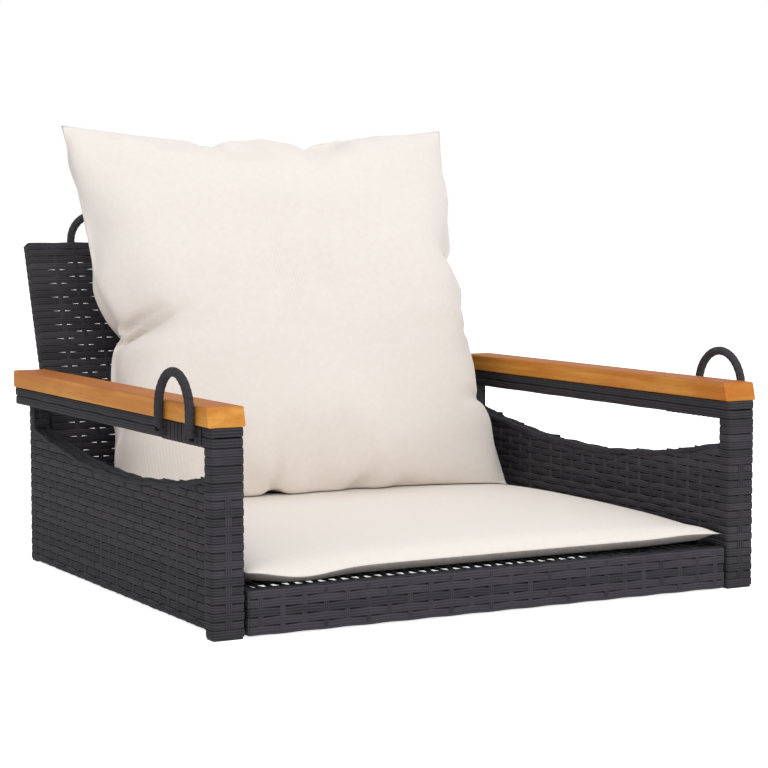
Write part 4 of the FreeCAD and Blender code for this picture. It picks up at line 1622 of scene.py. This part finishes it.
@dataclass
class BackCushion:
    """Loose back cushion, stood on the seat cushion and leaned on the backrest."""

    finishes: Finishes
    backrest: Backrest
    half_width: float = 252.0
    half_height: float = 231.0
    columns: int = 80
    rows: int = 74
    frames: int = 18
    calm: int = 5
    middle: tuple[float, float, float] = (0.0, 167.8, 280.2)
    lean: float = 20.5
    fullness: float = 84.0
    edge_thinness: float = 1.3
    fold_depth: float = 14.0
    deepest_fold: float = 0.9
    rest_gap: float = 1.0
    nick_x: float = -62.0
    nick_rise: float = 9.0
    nick_spread: float = 9.0
    corners: tuple[tuple[float, float], ...] = (
        (-250.0, -231.0), (255.0, -231.0), (252.0, 231.0), (-248.0, 229.0),
    )
    draw_ins: tuple[float, float, float, float] = (8.0, 17.0, 16.0, 15.0)
    pinches: tuple[Pinch, ...] = (
        Pinch("left", -26.0, 17.0, 11.0, 24.0, 1.1),
        Pinch("left", -30.0, 7.0, 50.0, 40.0),
        Pinch("left", -122.0, 13.5, 25.0, 23.0),
        Pinch("right", 57.0, 8.0, 20.0, 9.0),
        Pinch("right", -20.0, 14.0, 60.0, 62.0),
        Pinch("right", -37.0, 4.0, 8.0, 12.0),
        Pinch("right", -119.0, 7.0, 11.0, 14.0),
        Pinch("top", -5.0, 7.0, 130.0, 130.0),
        Pinch("top", -68.0, 8.0, 14.0, 18.0),
        Pinch("top", 52.0, 8.0, 14.0, 16.0),
        Pinch("bottom", -64.0, 7.0, 9.0, 14.0),
    )
    creases: tuple[Crease, ...] = (
        Crease((-226.0, -28.0), (-170.0, -6.0), 60.0, 9.0, 0.4),
        Crease((-206.0, -34.0), (-145.0, -8.0), 26.0, 7.0, 0.6),
        Crease((232.0, 58.0), (165.0, 52.0), 12.0, 8.0),
        Crease((236.0, -37.0), (190.0, -42.0), 9.0, 9.0),
        Crease((238.0, -119.0), (170.0, -128.0), 10.0, 10.0),
        Crease((-68.0, 206.0), (-62.0, 140.0), 9.0, 11.0),
        Crease((52.0, 207.0), (57.0, 145.0), 8.0, 10.0),
        Crease((-64.0, -214.0), (-74.0, -160.0), 12.0, 8.0),
    )

    @property
    def axes(self) -> np.ndarray:
        """The cushion's own directions across, up and forward, as rows."""
        return np.array((X_AXIS, *lean_axes(self.lean)))

    def fold(self, piece: bpy.types.Object) -> None:
        """Press the creases into the front face.

        Args:
            piece: The cushion, whose mesh is changed.
        """
        local = (mesh_points(piece.data) - self.middle) @ self.axes.T
        drop = sum(crease.drop(local[:, :2]) for crease in self.creases)
        full = np.maximum(local[:, 2], 0.0)
        local[:, 2] -= np.minimum(drop * np.minimum(full / self.fold_depth, 1.0), self.deepest_fold * full)
        piece.data.vertices.foreach_set("co", (self.middle + local @ self.axes).ravel() * MM)
        piece.data.update()

    def press_on_backrest(self, points: np.ndarray) -> None:
        """Flatten what would stand behind the face of the backrest.

        Args:
            points: Points in the part's frame, which are changed.
        """
        _, forward = lean_axes(self.backrest.lean)
        behind = (self.backrest.base - points) @ forward
        over = np.maximum(behind + self.backrest.half_thickness + self.rest_gap, 0.0)
        points += over[:, None] * forward

    def build(self, seat: bpy.types.Object) -> None:
        """Sew, fill and place the cushion.

        Args:
            seat: The seat cushion, which it stands on.
        """
        pad = SewnPad(self.half_width, self.half_height, self.columns, self.rows, self.frames)
        sides = pad.outline(self.corners, self.draw_ins)
        for pinch in self.pinches:
            pinch.draw(sides[pinch.side])
        points = pad.stuffed(sides, self.calm)
        points[:, 2] = self.fullness * np.sign(points[:, 2]) * np.abs(points[:, 2]) ** self.edge_thinness
        world = self.middle + points @ self.axes
        self.press_on_backrest(world)
        nick = self.nick_rise * np.exp(-(((world[:, 0] - self.nick_x) / self.nick_spread) ** 2))
        stand_on(world, seat, self.rest_gap + nick)
        piece = pad.piece("back_cushion_filled", world, (self.finishes.cover, self.finishes.cover))
        self.fold(piece)
        attach(piece, Body.BACK_CUSHION, ["back_cushion_cover", "back_cushion_fill"])


@dataclass
class SeatCushion:
    """Loose seat cushion, thin and flat below, with a grey cloth underneath whose grey is partly painted
    shade.
    """

    finishes: Finishes
    half_width: float = 275.0
    front_y: float = -306.0
    rear_y: float = 156.0
    columns: int = 80
    rows: int = 68
    frames: int = 7
    calm: int = 8
    draw_in: float = 7.0
    seam_height: float = 52.5
    rest_height: float = 45.6
    underside_fall: float = 30.0
    crown: float = 24.5
    edge_thinness: float = 0.75
    front_curl: float = 6.0
    front_reach: float = 24.0
    ruffles: tuple[Ruffle, ...] = (
        Ruffle(-1.0, 3.0, 0.1),
        Ruffle(-0.77, -6.0, 0.14),
        Ruffle(0.85, 1.8, 0.12),
    )
    side_curl: float = 4.0
    side_reach: float = 45.0
    side_fade_power: int = 4

    def build(self) -> bpy.types.Object:
        """Sew, fill and place the cushion.

        Returns:
            The piece.
        """
        width, depth = self.half_width, (self.rear_y - self.front_y) / 2
        pad = SewnPad(width, depth, self.columns, self.rows, self.frames)
        corners = ((-width, -depth), (width, -depth), (width, depth), (-width, depth))
        points = pad.stuffed(pad.outline(corners, [self.draw_in] * len(corners)), self.calm)
        swell = points[:, 2]
        above = self.crown * np.maximum(swell, 0.0) ** self.edge_thinness
        below = np.maximum(np.minimum(swell, 0.0) * self.underside_fall, self.rest_height - self.seam_height)
        across, back = points[:, 0] / width, points[:, 1] / depth
        behind = (1 + back) * depth / self.front_reach
        beside = (1 - np.abs(across)) * width / self.side_reach
        front_lift = self.front_curl + sum(ruffle.lift(across) for ruffle in self.ruffles)
        curl = front_lift * np.exp(-(behind**2))
        curl += self.side_curl * np.maximum(1 - back**self.side_fade_power, 0.0) * np.exp(-(beside**2))
        height = np.maximum(self.seam_height + above + below + curl, self.rest_height)
        middle_y = (self.front_y + self.rear_y) / 2
        world = np.stack((points[:, 0], points[:, 1] + middle_y, height), -1)
        # The back panel takes the grey cloth, partly a painted shade for the underside in shadow
        piece = pad.piece("seat_cushion_filled", world, (self.finishes.cover, self.finishes.lining))
        attach(piece, Body.SEAT_CUSHION, ["seat_cushion_cover", "seat_cushion_fill"])
        return piece


@dataclass
class BareNodes:
    """CAD nodes that keep their own shape and get their finish."""

    finishes: Finishes

    def build(self) -> None:
        """Give every node the material of its slot."""
        by_slot = {
            "arm_wood": self.finishes.board,
            "coated_steel": self.finishes.steel,
            "black_plastic": self.finishes.plug,
            "zinc_steel": self.finishes.zinc,
            "woven_strand": self.finishes.strand,
            "cover_fabric": self.finishes.cover,
            "cushion_filling": self.finishes.lining,
        }
        slots = {row["node"]: row["material_slot"] for row in frame["record"]["subparts"]}
        for name, node in frame["nodes"].items():
            node.data.materials.clear()
            node.data.materials.append(by_slot[slots[name]])
            LOG.info("%s: %s", name, by_slot[slots[name]].name)


@dataclass(frozen=True)
class Lamp:
    """A soft square lamp, in metres and watts."""

    name: str
    place: tuple[float, float, float]
    aim: tuple[float, float, float]
    size: float
    watts: float

    def add(self) -> None:
        """Hang the lamp in the scene so that it faces its aim."""
        data = bpy.data.lights.new(self.name, "AREA")
        data.size = self.size
        data.energy = self.watts
        lamp = put(self.name, data)
        lamp.location = self.place
        lamp.rotation_euler = (lamp.location - Vector(self.aim)).to_track_quat("Z", "Y").to_euler()


@dataclass
class Studio:
    """Camera at the photograph's angle, soft lamps and a white floor, in metres."""

    lens: float = 102.40
    sensor: float = 36.0
    camera_place: tuple[float, float, float] = (-1.12977, -2.13275, 0.39928)
    camera_pitch: float = 0.07999
    camera_turn: float = -0.50061
    floor_size: float = 60.0
    floor_glow: float = 0.8
    white: str = "#ffffff"
    sky: str = "#fbfbff"
    sky_strength: float = 0.52
    lamps: tuple[Lamp, ...] = (
        Lamp("key", (-0.8, -3.3, 2.0), (0.0, 0.0, 0.2), 2.4, 43.5),
        Lamp("fill", (2.2, -2.8, 1.5), (0.0, 0.0, 0.2), 2.4, 18.0),
        Lamp("top", (0.0, 0.2, 3.2), (0.0, 0.0, 0.0), 3.0, 34.0),
    )

    def place_camera(self) -> None:
        """Make the scene's camera."""
        data = bpy.data.cameras.new("camera")
        data.lens = self.lens
        data.sensor_width = self.sensor
        data.dof.use_dof = False
        camera = put("camera", data)
        camera.location = self.camera_place
        camera.rotation_euler = (math.pi / 2 - self.camera_pitch, 0.0, self.camera_turn)
        bpy.context.scene.camera = camera

    def seen_directly(self, tree: bpy.types.NodeTree) -> bpy.types.NodeSocket:
        """Tell rays that see a surface from those that only carry light from it.

        Args:
            tree: Node tree that takes the nodes.

        Returns:
            One for camera, mirror and glass rays, or zero.
        """
        path = add_node(tree, "ShaderNodeLightPath", {}, {})
        seen = path.outputs["Is Camera Ray"]
        for other in ("Is Glossy Ray", "Is Transmission Ray"):
            either = {0: seen, 1: path.outputs[other]}
            seen = add_node(tree, "ShaderNodeMath", {"operation": "MAXIMUM"}, either).outputs[0]
        return seen

    def lay_floor(self) -> None:
        """Lay a white floor that keeps the shadow."""
        half = self.floor_size / 2 / MM
        corners = level_corners((-half, half), (half, -half))
        mesh = new_mesh("floor", np.array(corners), np.array([(0, 1, 2, 3)]))
        material, tree, shader = new_material("paper_white_matt")
        lit = {0: self.seen_directly(tree), 1: self.floor_glow}
        glow = add_node(tree, "ShaderNodeMath", {"operation": "MULTIPLY"}, lit)
        fill_sockets(tree, shader, {
            "Base Color": linear(self.white),
            "Roughness": 1.0,
            "Specular IOR Level": 0.0,
            "Emission Color": linear(self.white),
            "Emission Strength": glow.outputs[0],
        })
        mesh.materials.append(material)
        floor = put("floor", mesh)

    def light(self) -> None:
        """Set the sky and the lamps."""
        world = bpy.data.worlds.new("studio")
        bpy.context.scene.world = world
        world.use_nodes = True
        tree = world.node_tree
        tree.nodes.clear()
        skies = [self.seen_directly(tree)]
        for colour, strength in ((self.sky, self.sky_strength), (self.white, 1.0)):
            shade = {"Color": linear(colour), "Strength": strength}
            skies.append(add_node(tree, "ShaderNodeBackground", {}, shade).outputs["Background"])
        mixed = add_node(tree, "ShaderNodeMixShader", {}, dict(enumerate(skies)))
        add_node(tree, "ShaderNodeOutputWorld", {}, {"Surface": mixed.outputs["Shader"]})
        for lamp in self.lamps:
            lamp.add()

    def build(self) -> None:
        """Set up the camera, the floor and the light."""
        bpy.context.scene.view_settings.view_transform = "Standard"
        self.place_camera()
        self.lay_floor()
        self.light()


def main() -> None:
    """Dress the bench piece by piece and set the studio."""
    logging.basicConfig(level=logging.INFO, format="%(message)s")
    finishes = Finishes()
    BareNodes(finishes).build()
    backrest = Backrest(finishes)
    for side in Side:
        ArmSide(side, finishes).build()
        HangingLoop(finishes, backrest).build(side)
    Apron(finishes).build()
    SeatMesh(finishes).build()
    backrest.build()
    seat = SeatCushion(finishes).build()
    BackCushion(finishes, backrest).build(seat)
    Studio().build()


if __name__ == "__main__":
    main()
